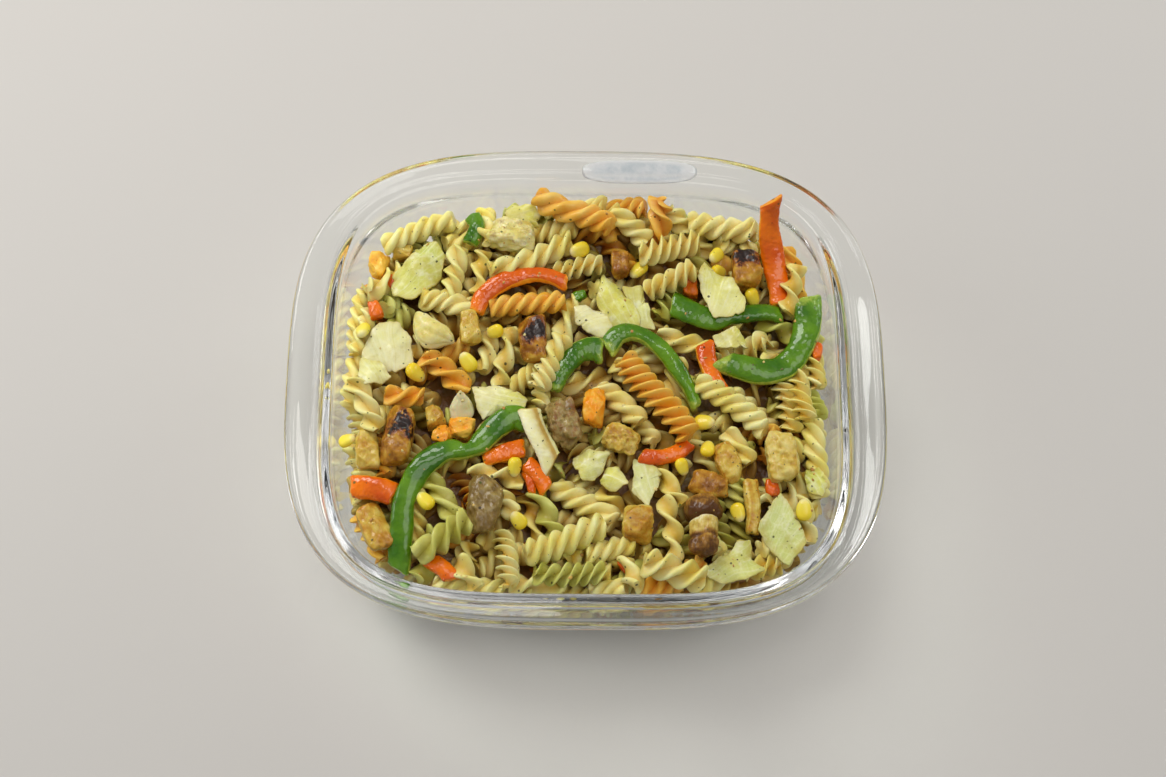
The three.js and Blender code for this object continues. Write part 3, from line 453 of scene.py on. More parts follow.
def laid_out(random):
    """All pieces as ends, radius, colour, form and layer: 2 the ones that show on top, 1 the ones under
    them, 0 the ones against the glass and on the floor."""
    ends, radii, colours, forms, layers = [], [], [], [], []
    kinds = list(FORMS)

    def high_at(x, y):
        return float(mound(x * MM, y * MM)) / MM

    def add(x, y, z, heading, length, colour, radius, form, layer, rise=0.0):
        if layer < 2 and z > 30 and math.hypot(x - STRIP_END[0], y - STRIP_END[1]) < STRIP_END[2]:
            return
        flat = math.cos(math.radians(rise)) * length / 2
        step = np.array([flat * math.cos(math.radians(heading)), flat * math.sin(math.radians(heading)),
                         math.sin(math.radians(rise)) * length / 2])
        middle = np.array([x, y, z])
        ends.append((middle - step, middle + step))
        radii.append(radius)
        colours.append(colour)
        forms.append(kinds.index(form))
        layers.append(layer)

    def any_kind():
        return (int(random.choice([YELLOW, ORANGE, GREEN], p=[0.74, 0.09, 0.17])), random.uniform(5, 5.9),
                str(random.choice(kinds, p=[0.25, 0.1, 0.25, 0.14, 0.14, 0.12])))

    # The ones that show.
    for x, y, heading, length, colour, radius, lift, form, rise in SHOWN:
        add(x, y, high_at(x, y) + lift - 1.5, heading, length, colour, radius, form, 2, rise)
    # The ones under them, on a grid, then near the wall all round, then in the gaps there.
    for x in np.arange(-94, 95, 18.8):
        for y in np.arange(-84, 85, 12.9):
            spot = (x + random.uniform(-6, 6), y + random.uniform(-4, 4))
            colour, radius, form = any_kind()
            add(*spot, high_at(*spot) - 7.5, random.uniform(0, 180), random.uniform(22, 32), colour, radius,
                form, 1, rise=random.uniform(-24, 24))
    count = 26
    for i in range(count):
        angle = 2 * np.pi * (i + random.uniform(-0.2, 0.2)) / count
        out = reach(*inside_at(40 * MM), angle) / MM - random.uniform(13, 17)
        x, y = out * math.cos(angle), out * math.sin(angle)
        colour, radius, form = any_kind()
        add(x, y, high_at(x, y) - 9, random.uniform(0, 180), random.uniform(22, 30), colour, radius, form, 1,
            rise=random.uniform(-20, 20))
    for x, y, heading in FILLING:
        _, radius, form = any_kind()
        add(x, y, high_at(x, y) - 8, heading, 26, YELLOW, radius, form, 1)
    # Rows up the glass, the highest one 6 mm under the brim.
    levels, lowest = 5, 14.5
    for level in range(levels):
        count = 25 + level // 2
        for i in range(count):
            angle = 2 * np.pi * (i + 0.5 * (level % 2) + random.uniform(-0.15, 0.15)) / count
            colour, radius, form = any_kind()
            edge = reach(*inside_at(40 * MM), angle) - radius * MM
            brim = float(mound(edge * math.cos(angle), edge * math.sin(angle))) / MM - 6
            z = lowest + (brim - lowest) * level / (levels - 1) + random.uniform(-1.5, 1.5)
            a, b, n = inside_at(z * MM)
            out = float(reach(a / MM - radius - 0.7, b / MM - radius - 0.7, n, angle))
            tangent = math.degrees(math.atan2(math.cos(angle) / a**2, -math.sin(angle) / b**2))
            add(out * math.cos(angle), out * math.sin(angle), z, tangent, random.uniform(22, 32), colour,
                radius, form, 0, rise=random.uniform(-30, 30) * (0.3 if level == levels - 1 else 1))
    # The ones on the floor.
    for x in np.arange(-66, 67, 26.0):
        for y in np.arange(-54, 55, 13.5):
            colour, radius, form = any_kind()
            add(x + random.uniform(-5, 5), y + random.uniform(-3, 3), FLOOR / MM + radius,
                random.uniform(-35, 35) + random.choice([0, 90]) * (random.uniform() < 0.35),
                random.uniform(24, 32), colour, radius, form, 0)
    return (np.array(ends) * MM, np.array(radii) * MM, np.array(colours), np.array(forms), np.array(layers))


def settled(ends, radii, layers, toppings, rounds=70, beads=5):
    """Pushes the pieces apart: each is a row of five balls on its line, and balls of two pieces that
    overlap, or that reach into a topping, the glass or the floor, move off each other and carry the piece's
    ends along. The pieces on top are pulled back to where they are seen, and the others a little."""
    slim, clear_of_glass, nearest = 0.84, 0.8 * MM, 12 * MM
    share = np.linspace(0.1, 0.9, beads)
    ends = ends.copy()
    target = ends.copy()
    length = np.linalg.norm(ends[:, 1] - ends[:, 0], axis=1)
    ball = np.repeat(radii * slim, beads)
    owner = np.repeat(np.arange(len(ends)), beads)
    stiff = np.where(layers == 2, 0.45, 1.0)[owner]
    pull = np.where(layers == 2, 0.14, 0.02)[:, None, None] * np.array([1, 1, 0.35])
    for step in range(rounds):
        balls = ends[:, None, 0] * (1 - share)[None, :, None] + ends[:, None, 1] * share[None, :, None]
        balls = balls.reshape(-1, 3)
        if step % 5 == 0:
            square = (balls**2).sum(1)
            gaps = np.sqrt(np.maximum(square[:, None] + square[None] - 2 * balls @ balls.T, 0))
            close = (gaps < ball[:, None] + ball[None] + 4 * MM) & (owner[:, None] < owner[None])
            first, second = np.nonzero(close)
        apart = balls[first] - balls[second]
        far = np.sqrt((apart**2).sum(-1)) + 1e-9
        over = 0.55 * np.maximum(ball[first] + ball[second] - far, 0) / far
        weight = stiff[first] / (stiff[first] + stiff[second])
        move = np.zeros_like(balls)
        for axis in range(3):
            push = apart[:, axis] * over
            move[:, axis] += np.bincount(first, push * weight, len(balls))
            move[:, axis] -= np.bincount(second, push * (1 - weight), len(balls))
        if step % 3 == 0:
            for i, spot in enumerate(balls):
                if spot[2] < 24 * MM:
                    continue
                near, normal, _, gap = toppings.find_nearest(Vector(spot), nearest)
                if near is None:
                    continue
                outside = (Vector(spot) - near).dot(normal) >= 0
                push = ball[i] - gap if outside else ball[i] + gap
                if push > 0:
                    away = (Vector(spot) - near).normalized() if outside and gap > 1e-6 else normal
                    move[i] += np.array(away) * push * 0.8
        moved = balls + move
        a, b, n = inside_at(moved[:, 2] - ball * 0.5)
        long, wide = a - ball - clear_of_glass, b - ball - clear_of_glass
        edge = (np.abs(moved[:, 0]) / long) ** n + (np.abs(moved[:, 1]) / wide) ** n
        moved[:, :2] /= np.maximum(edge, 1)[:, None] ** (1 / n)[:, None]
        moved[:, 2] = np.maximum(moved[:, 2], FLOOR + ball * 1.1)
        move = (moved - balls).reshape(-1, beads, 3)
        ends[:, 0] += (move * (1 - share)[None, :, None]).sum(1) / (1 - share).sum() * 1.5
        ends[:, 1] += (move * share[None, :, None]).sum(1) / share.sum() * 1.5
        ends += (target - ends) * pull
        middle = ends.mean(1)
        along = ends[:, 1] - ends[:, 0]
        along *= (length / np.maximum(np.linalg.norm(along, axis=1), 1e-9))[:, None] / 2
        ends = np.stack([middle - along, middle + along], 1)
    return ends


def fusilli_points(ends, radii, random, rows, around, form):
    """Each piece is a bladed section carried along a bowed line and turned as it goes. A blade is a bar
    with a round edge, so at an angle off its middle the section's radius is where a ray leaves that edge,
    (1-w)cos + root(w^2 - (1-w)^2 sin^2), or the bar's side, w / sin. Each blade's reach swells and shrinks
    by sines of its own, its edge lags behind its root, and the ends are cut aslant."""
    blades, short, long, thin, thick = form
    count, samples = len(ends), around // blades
    draw = {key: random.uniform(low, high, (count, 1, 1)) for key, low, high in (
        ("pitch", short, long), ("phase", 0, 6.28), ("half", thin, thick), ("bow", -1, 1), ("sway", -1, 1),
        ("lag", -0.1, 0.55), ("floppy", 0, 0.35), ("squash", 0.84, 1.0), ("lean", 0, 6.28),
        ("even", -0.7, 0.7), ("slant", -0.35, 0.35), ("hand", -1, 1))}
    s = np.linspace(0, 1, rows)[None, :, None]
    along = ends[:, 1] - ends[:, 0]
    length = np.linalg.norm(along, axis=1)[:, None, None]
    ahead = along[:, None] / length
    up = np.array([0, 0, 1.0]) + 0.01 * random.uniform(-1, 1, (count, 3))
    side = np.cross(ahead[:, 0], up)
    side = (side / np.linalg.norm(side, axis=1)[:, None])[:, None]
    up = np.cross(side, ahead)
    arch = 1 - (2 * s - 1) ** 2
    bow = draw["bow"] * 0.065 * length * arch
    sway = draw["sway"] * 0.025 * length * np.sin(2 * np.pi * s)
    line = ends[:, None, 0] + along[:, None] * s + side * (bow + sway) + up * (0.3 * sway)
    widest = np.pi / blades
    corner = np.arctan2(draw["half"], 1 - draw["half"])
    q = (np.arange(samples) + 1) / samples * 2 - 1
    edge_share, valley_from = 0.62, np.abs(q)
    off = np.where(valley_from <= edge_share, corner * valley_from / edge_share,
                   corner + (widest - corner) * (valley_from - edge_share) / (1 - edge_share))
    rest = 1 - draw["half"]
    cap = rest * np.cos(off) + np.sqrt(np.maximum(draw["half"] ** 2 - (rest * np.sin(off)) ** 2, 0))
    bar = draw["half"] / np.maximum(np.sin(off), 1e-3)
    shape = np.where(off <= corner, cap, np.minimum(bar, cap.min(axis=2, keepdims=True) + bar * 0 + 1))
    phi = np.concatenate([np.sign(q) * off + 2 * widest * i for i in range(blades)], 2)
    shape = np.concatenate([shape] * blades, 2)
    waves = random.uniform(0, 6.28, (count, 1, blades))
    own = np.repeat(np.sin(2 * np.pi * s * length / (19 * MM) + waves) + 0.6 * np.sin(
        2 * np.pi * s * length / (7.5 * MM) + 2.7 * waves), samples, 2)
    ends_in = 1 - 0.14 * np.exp(-((np.minimum(s, 1 - s) * length / (0.9 * MM)) ** 2))
    out = radii[:, None, None] * ends_in * shape * (1 + 0.065 * own * (shape - 0.3))
    warp = draw["even"] * 0.6 * np.sin(2 * np.pi * s + draw["lean"])
    turn = draw["phase"] + 2 * np.pi * s * length / (draw["pitch"] * MM) + warp
    lag = draw["lag"] + draw["floppy"] * np.sin(2 * np.pi * s * length / (13 * MM) + draw["lean"])
    angle = phi + turn + lag * (shape - 0.4)
    out = out * (1 - (1 - draw["squash"]) * np.cos(angle + draw["lean"]) ** 2)
    near_end = np.clip(1 - np.minimum(s, 1 - s) * length / (4 * MM), 0, 1)
    shift = near_end * draw["slant"] * out * np.cos(angle - draw["lean"])
    points = line[:, :, None] + side[:, :, None] * (out * np.cos(angle))[..., None] + (
        up[:, :, None] * (out * np.sin(angle))[..., None]) + ahead[:, :, None] * shift[..., None]
    caps = line[:, [0, -1]] + np.array([0.5, -0.5])[None, :, None] * MM * ahead
    points = np.concatenate([points.reshape(count, -1, 3), caps], 1)
    # How deep in a valley between the blades each point lies, for the painted shade there.
    valley = np.broadcast_to(np.clip(1.15 - shape, 0, 1), out.shape).reshape(count, -1)
    valley = np.concatenate([valley, np.full((count, 2), 0.6)], 1)
    return points.reshape(-1, 3), valley.ravel()


def sunk(points):
    """How deep points lie in the heap: 0 at the mound's height to 1 at 14 mm below it."""
    return np.clip((mound(points[:, 0], points[:, 1]) - points[:, 2]) / (14 * MM), 0, 1)


# Rings along a piece and points round it (a multiple of 6, for two or three blades): on top, under them, and
# against the glass.
FINE, COARSE, PLAIN = (52, 30), (30, 24), (26, 18)


def make_fusilli(name, ends, radii, forms, random, detail):
    """All pieces of one colour and layer as one mesh, form by form; those against the glass stay paler, with
    only 0.35 of the painted shade deep in the heap.
    """
    rows, around = detail
    points, valley, tint = [], [], []
    for number, form in enumerate(FORMS.values()):
        use = forms == number
        if use.any():
            more, low = fusilli_points(ends[use], radii[use], random, rows, around, form)
            points.append(more)
            valley.append(low)
            tint.append(np.repeat(random.uniform(0, 1, use.sum()), rows * around + 2))
    points = np.concatenate(points)
    return mesh_object(name, points, *tube_faces(len(ends), rows, around), sharp=60,
                       valley=np.concatenate(valley), tint=np.concatenate(tint),
                       sunk=sunk(points) * (0.35 if detail == PLAIN else 1))


def new_group(name, inputs, outputs):
    """A node group with named values going in, each with what it starts at, and named values coming out."""
    tree = bpy.data.node_groups.new(name, "ShaderNodeTree")
    for key, value in inputs.items():
        tree.interface.new_socket(key, in_out="INPUT", socket_type="NodeSocketFloat").default_value = value
    for key in outputs:
        tree.interface.new_socket(key, in_out="OUTPUT", socket_type="NodeSocketFloat")
    shade = Shader(tree)
    return tree, shade, shade.node("NodeGroupInput").outputs, shade.node("NodeGroupOutput")


def oily_group():
    """Oil on cooked food: a roughness that is patchy at a few millimetres, and a fine grain for a bump."""
    starts = {"Driest": 0.5, "Wettest": 0.25, "Patch Scale": 130, "Grain Scale": 900}
    tree, shade, given, result = new_group("oily_skin", starts, ("Roughness", "Grain"))
    where = shade.place()
    patch = shade.noise(where, given["Patch Scale"], 2)
    between = shade.math("SUBTRACT", given["Driest"], given["Wettest"])
    sharp = shade.math("MULTIPLY_ADD", shade.math("SUBTRACT", patch, 0.5), 2.4, 0.5, clamp=True)
    shade.put(result, Roughness=shade.math("MULTIPLY_ADD", sharp, between, given["Wettest"]),
              Grain=shade.noise(where, given["Grain Scale"], 2))
    return tree


def specks_group():
    """Ground pepper and dried herbs on the food: a mask of small uneven specks, and which are herbs."""
    tree, shade, given, result = new_group("herb_specks", {"Amount": 0.5}, ("Speck", "Herb"))
    cells = shade.put(shade.node("ShaderNodeTexVoronoi"), Vector=shade.place(), Scale=420.0, Randomness=1.0)
    lone = shade.put(shade.node("ShaderNodeSeparateColor"), Color=cells.outputs["Color"]).outputs
    few = shade.math("LESS_THAN", lone[0], shade.math("MULTIPLY", given["Amount"], 0.2))
    limit = shade.math("MULTIPLY_ADD", lone[1], 0.22, 0.08)
    small = shade.math("LESS_THAN", cells.outputs["Distance"], limit)
    shade.put(result, Speck=shade.math("MULTIPLY", few, small), Herb=lone[2])
    return tree


OILY = oily_group()
SPECKS = specks_group()


def add_specks(shade, colour, amount):
    """The colour with pepper and herb specks over it."""
    specks = shade.put(shade.node("ShaderNodeGroup", node_tree=SPECKS), Amount=amount)
    kind = shade.ramp(specks.outputs["Herb"], (0.45, (0.03, 0.018, 0.008)), (0.55, (0.07, 0.1, 0.015)))
    return shade.mix(shade.math("MULTIPLY", specks.outputs["Speck"], 0.85), colour, kind)


def add_skin(shade, surface, driest, wettest, depth, grain_scale=900, patch_scale=130):
    """Oily roughness and a fine grain, on a surface whose own shine is weak, so that it stays deep."""
    oily = shade.put(shade.node("ShaderNodeGroup", node_tree=OILY), Driest=driest, Wettest=wettest,
                     Grain_Scale=grain_scale, Patch_Scale=patch_scale).outputs
    shade.put(surface, Specular_IOR_Level=0.25, Roughness=oily["Roughness"],
              Normal=shade.bump(0.35, depth, oily["Grain"]))


def pasta_material(name, pale, deep, valley, tints):
    """Cooked durum pasta: paler on the blades' edges and darker between them, which is painted shade; browned
    deep in the heap, partly by juice and partly as painted shade; and each piece a little different."""
    material, shade, surface = new_material(name)
    where = shade.place()
    patch = shade.noise(where, 90, 3)
    body = shade.mix(shade.ramp(patch, (0.35, 0.0), (0.68, 1.0)), pale, deep)
    tint = shade.ramp(shade.attribute("tint"), *tints)
    body = shade.mix(0.75, body, tint, blend="MULTIPLY")
    # Painted shade: the colour between the blades, where shade falls, mixed in by how deep in a valley a
    # point lies.
    low = shade.math("MULTIPLY", shade.math("POWER", shade.attribute("valley"), 1.3), 0.9)
    body = shade.mix(low, body, valley)
    # Painted shade, partly juice: browner the further a point lies under the mound.
    juice_and_depth_shade = shade.math("MULTIPLY_ADD", shade.noise(where, 55, 2), 0.5, shade.attribute("sunk"))
    body = shade.mix(shade.ramp(juice_and_depth_shade, (0.3, 0.0), (1.2, 0.9)), body, (0.5, 0.27, 0.09), blend="MULTIPLY")
    colour = add_specks(shade, body, 0.35)
    shade.put(surface, Base_Color=colour, Subsurface_Weight=0.25, Subsurface_Scale=0.003, IOR=1.38,
              Subsurface_Radius=(1.0, 0.7, 0.25), Coat_Weight=0.22, Coat_Roughness=0.12)
    add_skin(shade, surface, 0.6, 0.28, 0.0004)
    return material


# Word, then the colours: pale, deep, the painted shade between the blades, and how the pieces differ.
PASTAS = {
    YELLOW: ("yellow", (0.89, 0.86, 0.42), (0.82, 0.72, 0.18), (0.62, 0.34, 0.008),
             ((0.0, (0.92, 0.97, 0.85)), (0.5, (1, 1, 1)), (1.0, (1, 0.93, 0.75)))),
    ORANGE: ("orange", (0.9, 0.59, 0.13), (0.84, 0.42, 0.03), (0.64, 0.17, 0.005),
             ((0.0, (1, 1, 1)), (1.0, (1, 1.1, 1.1)))),
    GREEN: ("green", (0.71, 0.69, 0.23), (0.52, 0.51, 0.09), (0.3, 0.22, 0.006),
            ((0.0, (1, 1, 0.9)), (1.0, (0.92, 1, 0.85)))),
}

topping_names = sorted(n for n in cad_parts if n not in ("dish", "pasta_heap"))


def rows_of(values, key):
    """What each of a mesh's points or normals says under a key, as rows of x, y and z."""
    row = np.empty(len(values) * 3, np.float32)
    values.foreach_get(key, row)
    return row.reshape(-1, 3)


def tree_of(solids):
    """The triangles of some solids as one tree to measure distances to."""
    points, faces, base = [], [], 0
    for solid in solids:
        corners = np.empty(len(solid.data.loops), np.int32)
        solid.data.loops.foreach_get("vertex_index", corners)
        points.append(rows_of(solid.data.vertices, "co"))
        faces.append(corners.reshape(-1, 3) + base)
        base += len(points[-1])
    return BVHTree.FromPolygons(np.concatenate(points).tolist(), np.concatenate(faces).tolist())


SEED = 20
rng = np.random.default_rng(SEED)
piece_ends, piece_radii, piece_colours, piece_forms, piece_layers = laid_out(rng)
kernel_spots = np.array([(x * MM, y * MM, mound(x * MM, y * MM) + 2.5 * MM) for x, y in KERNELS_SHOWN])
kernel_ends = np.stack([kernel_spots - (0.3 * MM, 0, 0), kernel_spots + (0.3 * MM, 0, 0)], 1)
all_ends = np.concatenate([piece_ends, kernel_ends])
all_radii = np.concatenate([piece_radii, np.full(len(kernel_ends), 4 * MM)])
all_layers = np.concatenate([piece_layers, np.full(len(kernel_ends), 2)])
topping_tree = tree_of([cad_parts[n] for n in topping_names])
all_ends = settled(all_ends, all_radii, all_layers, topping_tree)
piece_ends, kernel_ends = all_ends[:len(piece_ends)], all_ends[len(piece_ends):]
for colour, (word, *colours) in PASTAS.items():
    finish = pasta_material("pasta_" + word, *colours)
    for part, layer, detail in (("top", 2, FINE), ("middle", 1, COARSE), ("side", 0, PLAIN)):
        use = (piece_layers == layer) & (piece_colours == colour)
        made = make_fusilli(f"fusilli_{word}_{part}", piece_ends[use], piece_radii[use], piece_forms[use],
                            rng, detail)
        serve(made, finish, "pasta_heap")

# Sweetcorn. Boiled kernels about 9 mm long, wedge-shaped with a rounded crown and a pale pointed tip,
# each turned its own way and resting among the fusilli.


def make_kernels(ends, random, rows=14, around=18):
    """Rings round each kernel's length: their radius is a half-ellipse, narrower by a third at the tip,
    flattened to 0.78 of it across the germ's side and dented there."""
    count = len(ends)
    t = np.linspace(0.03, 0.97, rows)[None, :, None]
    angle = np.linspace(0, 2 * np.pi, around, endpoint=False)[None, None, :]
    size = random.uniform(0.88, 1.12, (count, 1, 1))
    out = 3.9 * MM * size * (1 - np.abs(2 * t - 1) ** 2.6) ** 0.5 * (0.68 + 0.32 * t)
    dent = 1 - 0.16 * np.exp(-((angle - np.pi / 2) / 0.6) ** 2) * np.sin(np.pi * t)
    x = (t - 0.5) * 9.2 * MM * size + 0 * angle
    y = out * np.cos(angle)
    z = 0.78 * out * np.sin(angle) * dent
    local = np.stack([x, y, z], -1).reshape(count, -1, 3)
    tips = np.array([(-4.45, 0, 0), (4.45, 0, 0)])[None] * MM * size
    local = np.concatenate([local, tips], 1)
    heading, tip, roll = (random.uniform(-1, 1, count) * most for most in (np.pi, 0.9, 0.8))
    cos, sin = np.cos, np.sin
    ahead = np.stack([cos(heading) * cos(tip), sin(heading) * cos(tip), sin(tip)], -1)
    side = np.stack([-sin(heading), cos(heading), 0 * heading], -1)
    up = np.cross(ahead, side)
    cos_roll, sin_roll = cos(roll)[:, None], sin(roll)[:, None]
    side, up = side * cos_roll + up * sin_roll, up * cos_roll - side * sin_roll
    frames = np.stack([ahead, side, up], 1)
    points = np.einsum("pij,pjk->pik", local, frames) + ends.mean(1)[:, None]
    crown = np.broadcast_to(np.concatenate([np.repeat(t.ravel(), around), [0, 1]]), points.shape[:2])
    tint = np.repeat(random.uniform(0, 1, count), points.shape[1])
    return mesh_object("sweetcorn", points.reshape(-1, 3), *tube_faces(count, rows, around), crown=crown,
                       tint=tint)


def corn_material():
    """Boiled sweetcorn: bright yellow, a little clearer at the crown, pale at the tip, taut and shiny."""
    material, shade, surface = new_material("corn_skin")
    colour = shade.ramp(shade.attribute("crown"), (0.0, (0.86, 0.78, 0.4)), (0.25, (0.9, 0.76, 0.09)),
                        (1.0, (0.92, 0.7, 0.02)))
    tint = shade.ramp(shade.attribute("tint"), (0, (1, 1, 1)), (1, (0.92, 0.84, 0.7)))
    colour = add_specks(shade, shade.mix(0.8, colour, tint, blend="MULTIPLY"), 0.15)
    shade.put(surface, Base_Color=colour, Subsurface_Weight=0.2, Subsurface_Scale=0.003, IOR=1.45,
              Subsurface_Radius=(1.0, 0.6, 0.15), Coat_Weight=0.3, Coat_Roughness=0.1)
    add_skin(shade, surface, 0.4, 0.2, 0.0002)
    return material


serve(make_kernels(kernel_ends, rng), corn_material(), "pasta_heap")

# Pepper strips. Strips cut from roasted green and red peppers, 5.5 to 12.5 mm wide and 4 to 6 mm thick:
# glossy skin outside, arched and a little lumpy, and pale wet flesh along the cut edge and inside.

GAP_UNDER = 2 * MM
# Name, width at both ends, thickness, the path as x, y and height above the mound, in mm; then how far the
# pale flesh shows round the edge from 0 to 1, on which side, and where the strip is pinched along its path.
GREEN_STRIPS = [
    ("pepper_green_front", (10, 10.5), 5.4,
     [(-80.5, -80, 2.5), (-79, -65, 3.5), (-78, -52, 4), (-74.5, -42, 4.2), (-68.5, -34, 4.4),
      (-60.5, -29, 4.4), (-52, -29, 4.2), (-46, -25, 4), (-39, -17, 4), (-32, -13, 3.6),
      (-25.5, -15, 2.2)], 0.3, -1, 0.68),
    ("pepper_green_right", (11, 12.5), 5.6,
     [(59.5, 15, 3.6), (68, 12, 4), (78, 10.3, 4.2), (86.5, 12.3, 4.4), (93.5, 18.5, 4.6), (97.8, 27, 5),
      (99.6, 37, 5.4), (99.4, 46, 6)], 0.5, -1, None),
    ("pepper_green_arch", (9, 6), 5,
     [(9.5, 20, 2.6), (14, 26.5, 3.8), (20.5, 28, 4.2), (28, 25, 4.4), (35, 18.5, 4.2), (40.5, 10, 4),
      (45, 2, 3.6), (49, -7, 2.6)], 0.7, -1, None),
    ("pepper_green_dark", (11.5, 7), 4.4,
     [(38.5, 43, 2.6), (47, 39, 3), (57, 35.5, 2.6), (66, 36.5, 2.4), (74, 38.5, 2.8), (81, 39.3, 3),
      (87.5, 38.5, 2.4)], 0.1, 1, 0.55),
    ("pepper_green_thin", (5.5, 12), 4.8,
     [(-14, 0, 2.6), (-11, 7.5, 3.4), (-7, 14, 3.6), (-2, 18.5, 3.4), (3.5, 20, 3),
      (7.5, 19, 2.4)], 0.5, 1, None),
    ("pepper_green_back", (8, 8), 5, [(-51.5, 86.5, 4), (-49.5, 80, 4.4), (-52.5, 72.5, 2)], 0.6, 1, None),
]
RED_STRIPS = [
    ("pepper_red_arch", (8.5, 7), 5,
     [(-49, 37.5, 2.6), (-45.5, 45, 3.8), (-38.5, 51, 4.4), (-30, 54.5, 4.6), (-22, 55.5, 4.6),
      (-14, 54, 4.2), (-8.5, 51.5, 3.4)], 0.6, -1, None),
    ("pepper_red_upright", (10.5, 9.3), 4.2,
     [(88, 43, 2), (86.8, 52, 3.6), (85.4, 61, 7), (83.6, 69, 12), (82.4, 76.5, 19.5), (82.2, 82, 26.5),
      (82.8, 84.8, 31)], 0.3, 1, None),
    ("pepper_red_band", (10, 10.5), 5,
     [(-101.5, -43.5, 2.6), (-91, -45.5, 3.4), (-82.5, -48.5, 2.6)], 0.5, 1, None),
    ("pepper_red_middle", (7, 7), 4,
     [(24, -29.5, 2), (32, -30.5, 2.6), (40, -28.5, 2.6), (45.5, -24, 2)], 0.6, 1, None),
    ("pepper_red_under_green", (7, 8), 4,
     [(-44.5, -32, 1), (-35, -28.5, 1.4), (-26.5, -26, 1.2)], 0.6, -1, None),
    ("pepper_red_end", (7.5, 6.5), 4.2,
     [(-25.5, -33, 1.8), (-20.5, -39, 2.6), (-17, -46.5, 2)], 0.5, 1, None),
    ("pepper_red_right", (8.5, 6.5), 4.4,
     [(53, 24, 2), (53.8, 16, 3), (56.5, 8, 3), (61, 0.5, 2)], 0.5, -1, None),
    ("pepper_red_front", (7, 7), 4.2, [(-67, -77, 3), (-61, -81, 3.6), (-55.5, -86, 3)], 0.5, 1, None),
]
# How far each end is cut aslant; the others at random.
SLANTS = {"pepper_red_upright": (0.2, -1.02), "pepper_red_front": (0.6, 0.7),
          "pepper_green_right": (0.8, -0.3)}
# Over how many mm the pale flesh of the ends fades.
PALE_ENDS = {"pepper_green_right": 10, "pepper_green_arch": 6, "pepper_green_thin": 5, "pepper_red_arch": 4}
# Further prongs of the forked ones: path, width at both ends and thickness.
PRONGS = {
    "pepper_red_end": [([(-26, -36.5, 0.6), (-23.5, -42, 1.4), (-23, -47.5, 1)], (4.5, 3.5), 3.4)],
    "pepper_green_front": [([(-82.5, -76, -0.6), (-82, -70, 0.2), (-80, -64, 0.8)], (4.5, 5), 3)],
}
STRIP_ROWS, STRIP_AROUND = 104, 44


def turned(x, y, angle):
    """A plan turned by an angle: x cos - y sin, and x sin + y cos."""
    return x * np.cos(angle) - y * np.sin(angle), x * np.sin(angle) + y * np.cos(angle)


def strip_points(path, width, thick, seed, pinch=None, arch=0.35, rough=0.075, slant=None, square=3.4):
    """A flat bar carried along a smooth path: its section is a superellipse, arched by 0.5 less the square
    of the way across, and rolled a little as it goes. Each edge runs in and out by sines of its own, the
    skin is uneven by sums of sines, and both ends are cut aslant with a small rounding."""
    random = np.random.default_rng(seed)
    knots = np.array([(x, y, mound(x * MM, y * MM) / MM + lift) for x, y, lift in path])
    dense = through(knots, 400)
    gone = np.concatenate([[0], np.cumsum(np.linalg.norm(np.diff(dense, axis=0), axis=1))])
    long = gone[-1]
    first = np.array([0.0, 0.12, 0.35, 0.7, 1.2])
    place = np.concatenate([first, np.linspace(1.9, long - 1.9, STRIP_ROWS - 10), long - first[::-1]])
    t = place / long
    line = np.stack([np.interp(place, gone, dense[:, i]) for i in range(3)], -1)
    ahead = np.stack([np.interp(place, gone, np.gradient(dense[:, i])) for i in range(3)], -1)
    ahead /= np.linalg.norm(ahead, axis=1)[:, None]
    side = np.cross((0, 0, 1.0), ahead)
    side /= np.linalg.norm(side, axis=1)[:, None]
    up = np.cross(ahead, side)
    from_end = np.minimum(place, long - place)
    rounding = 1.2
    inset = rounding * (1 - np.sqrt(1 - (1 - np.clip(from_end / rounding, 0, 1)) ** 2))
    waves = random.uniform(0, 6.28, 16)
    swell = np.ones_like(t)
    if pinch is not None:
        swell -= 0.3 * np.exp(-(((t - pinch) * long / 4.5) ** 2))
    edges = [(width[0] + (width[1] - width[0]) * t) / 2 * swell
             + 0.38 * np.sin(place / 6.2 + waves[k]) + 0.12 * np.sin(place / 2.7 + waves[k + 1])
             + 0.04 * np.sin(place / 1.1 + waves[k + 2]) - inset for k in (0, 3)]
    deep = thick / 2 * (1 + 0.07 * np.sin(place / 5.3 + waves[6])) * (2 - swell) ** 0.5 - 0.8 * inset
    angle = np.linspace(0, 2 * np.pi, STRIP_AROUND, endpoint=False)[None]
    across = np.sign(np.cos(angle)) * np.abs(np.cos(angle)) ** (2 / square)
    high = np.sign(np.sin(angle)) * np.abs(np.sin(angle)) ** (2 / square)
    high = high * 0.86 + arch * (0.5 - across**2)
    lumps = sum(np.sin(fine * place[:, None] + turns * angle + waves[8 + i])
                for i, (fine, turns) in enumerate(((0.35, 1), (0.6, -2), (0.9, 3), (1.7, -5), (2.9, 8))))
    x = np.where(across > 0, edges[0][:, None] * across, edges[1][:, None] * across)
    y = deep[:, None] * high
    push = rough * lumps / 1.8
    x, y = x + push * np.cos(angle), y + push * np.sin(angle)
    roll = (0.16 * np.sin(place / 9 + waves[13]) + 0.1 * np.sin(place / 4.2 + waves[14]))[:, None]
    x, y = turned(x, y, roll)
    near_end = np.clip(1 - from_end / 5, 0, 1)[:, None]
    start_cut, end_cut = slant or random.uniform(-0.5, 0.5, 2)
    cut = np.where(t < 0.5, start_cut, end_cut)[:, None]
    shift = near_end * (cut * x + 0.25 * np.sin(angle * 5 + waves[7]) * near_end)
    points = (line[:, None] + side[:, None] * x[..., None] + up[:, None] * y[..., None]
              + ahead[:, None] * shift[..., None])
    points = np.vstack([points.reshape(-1, 3), points[[0, -1]].mean(1)]) * MM
    turn = np.append(np.tile(angle / (2 * np.pi), STRIP_ROWS), (0.75, 0.75))
    return points, turn, np.append(np.repeat(from_end, STRIP_AROUND), (0, 0))


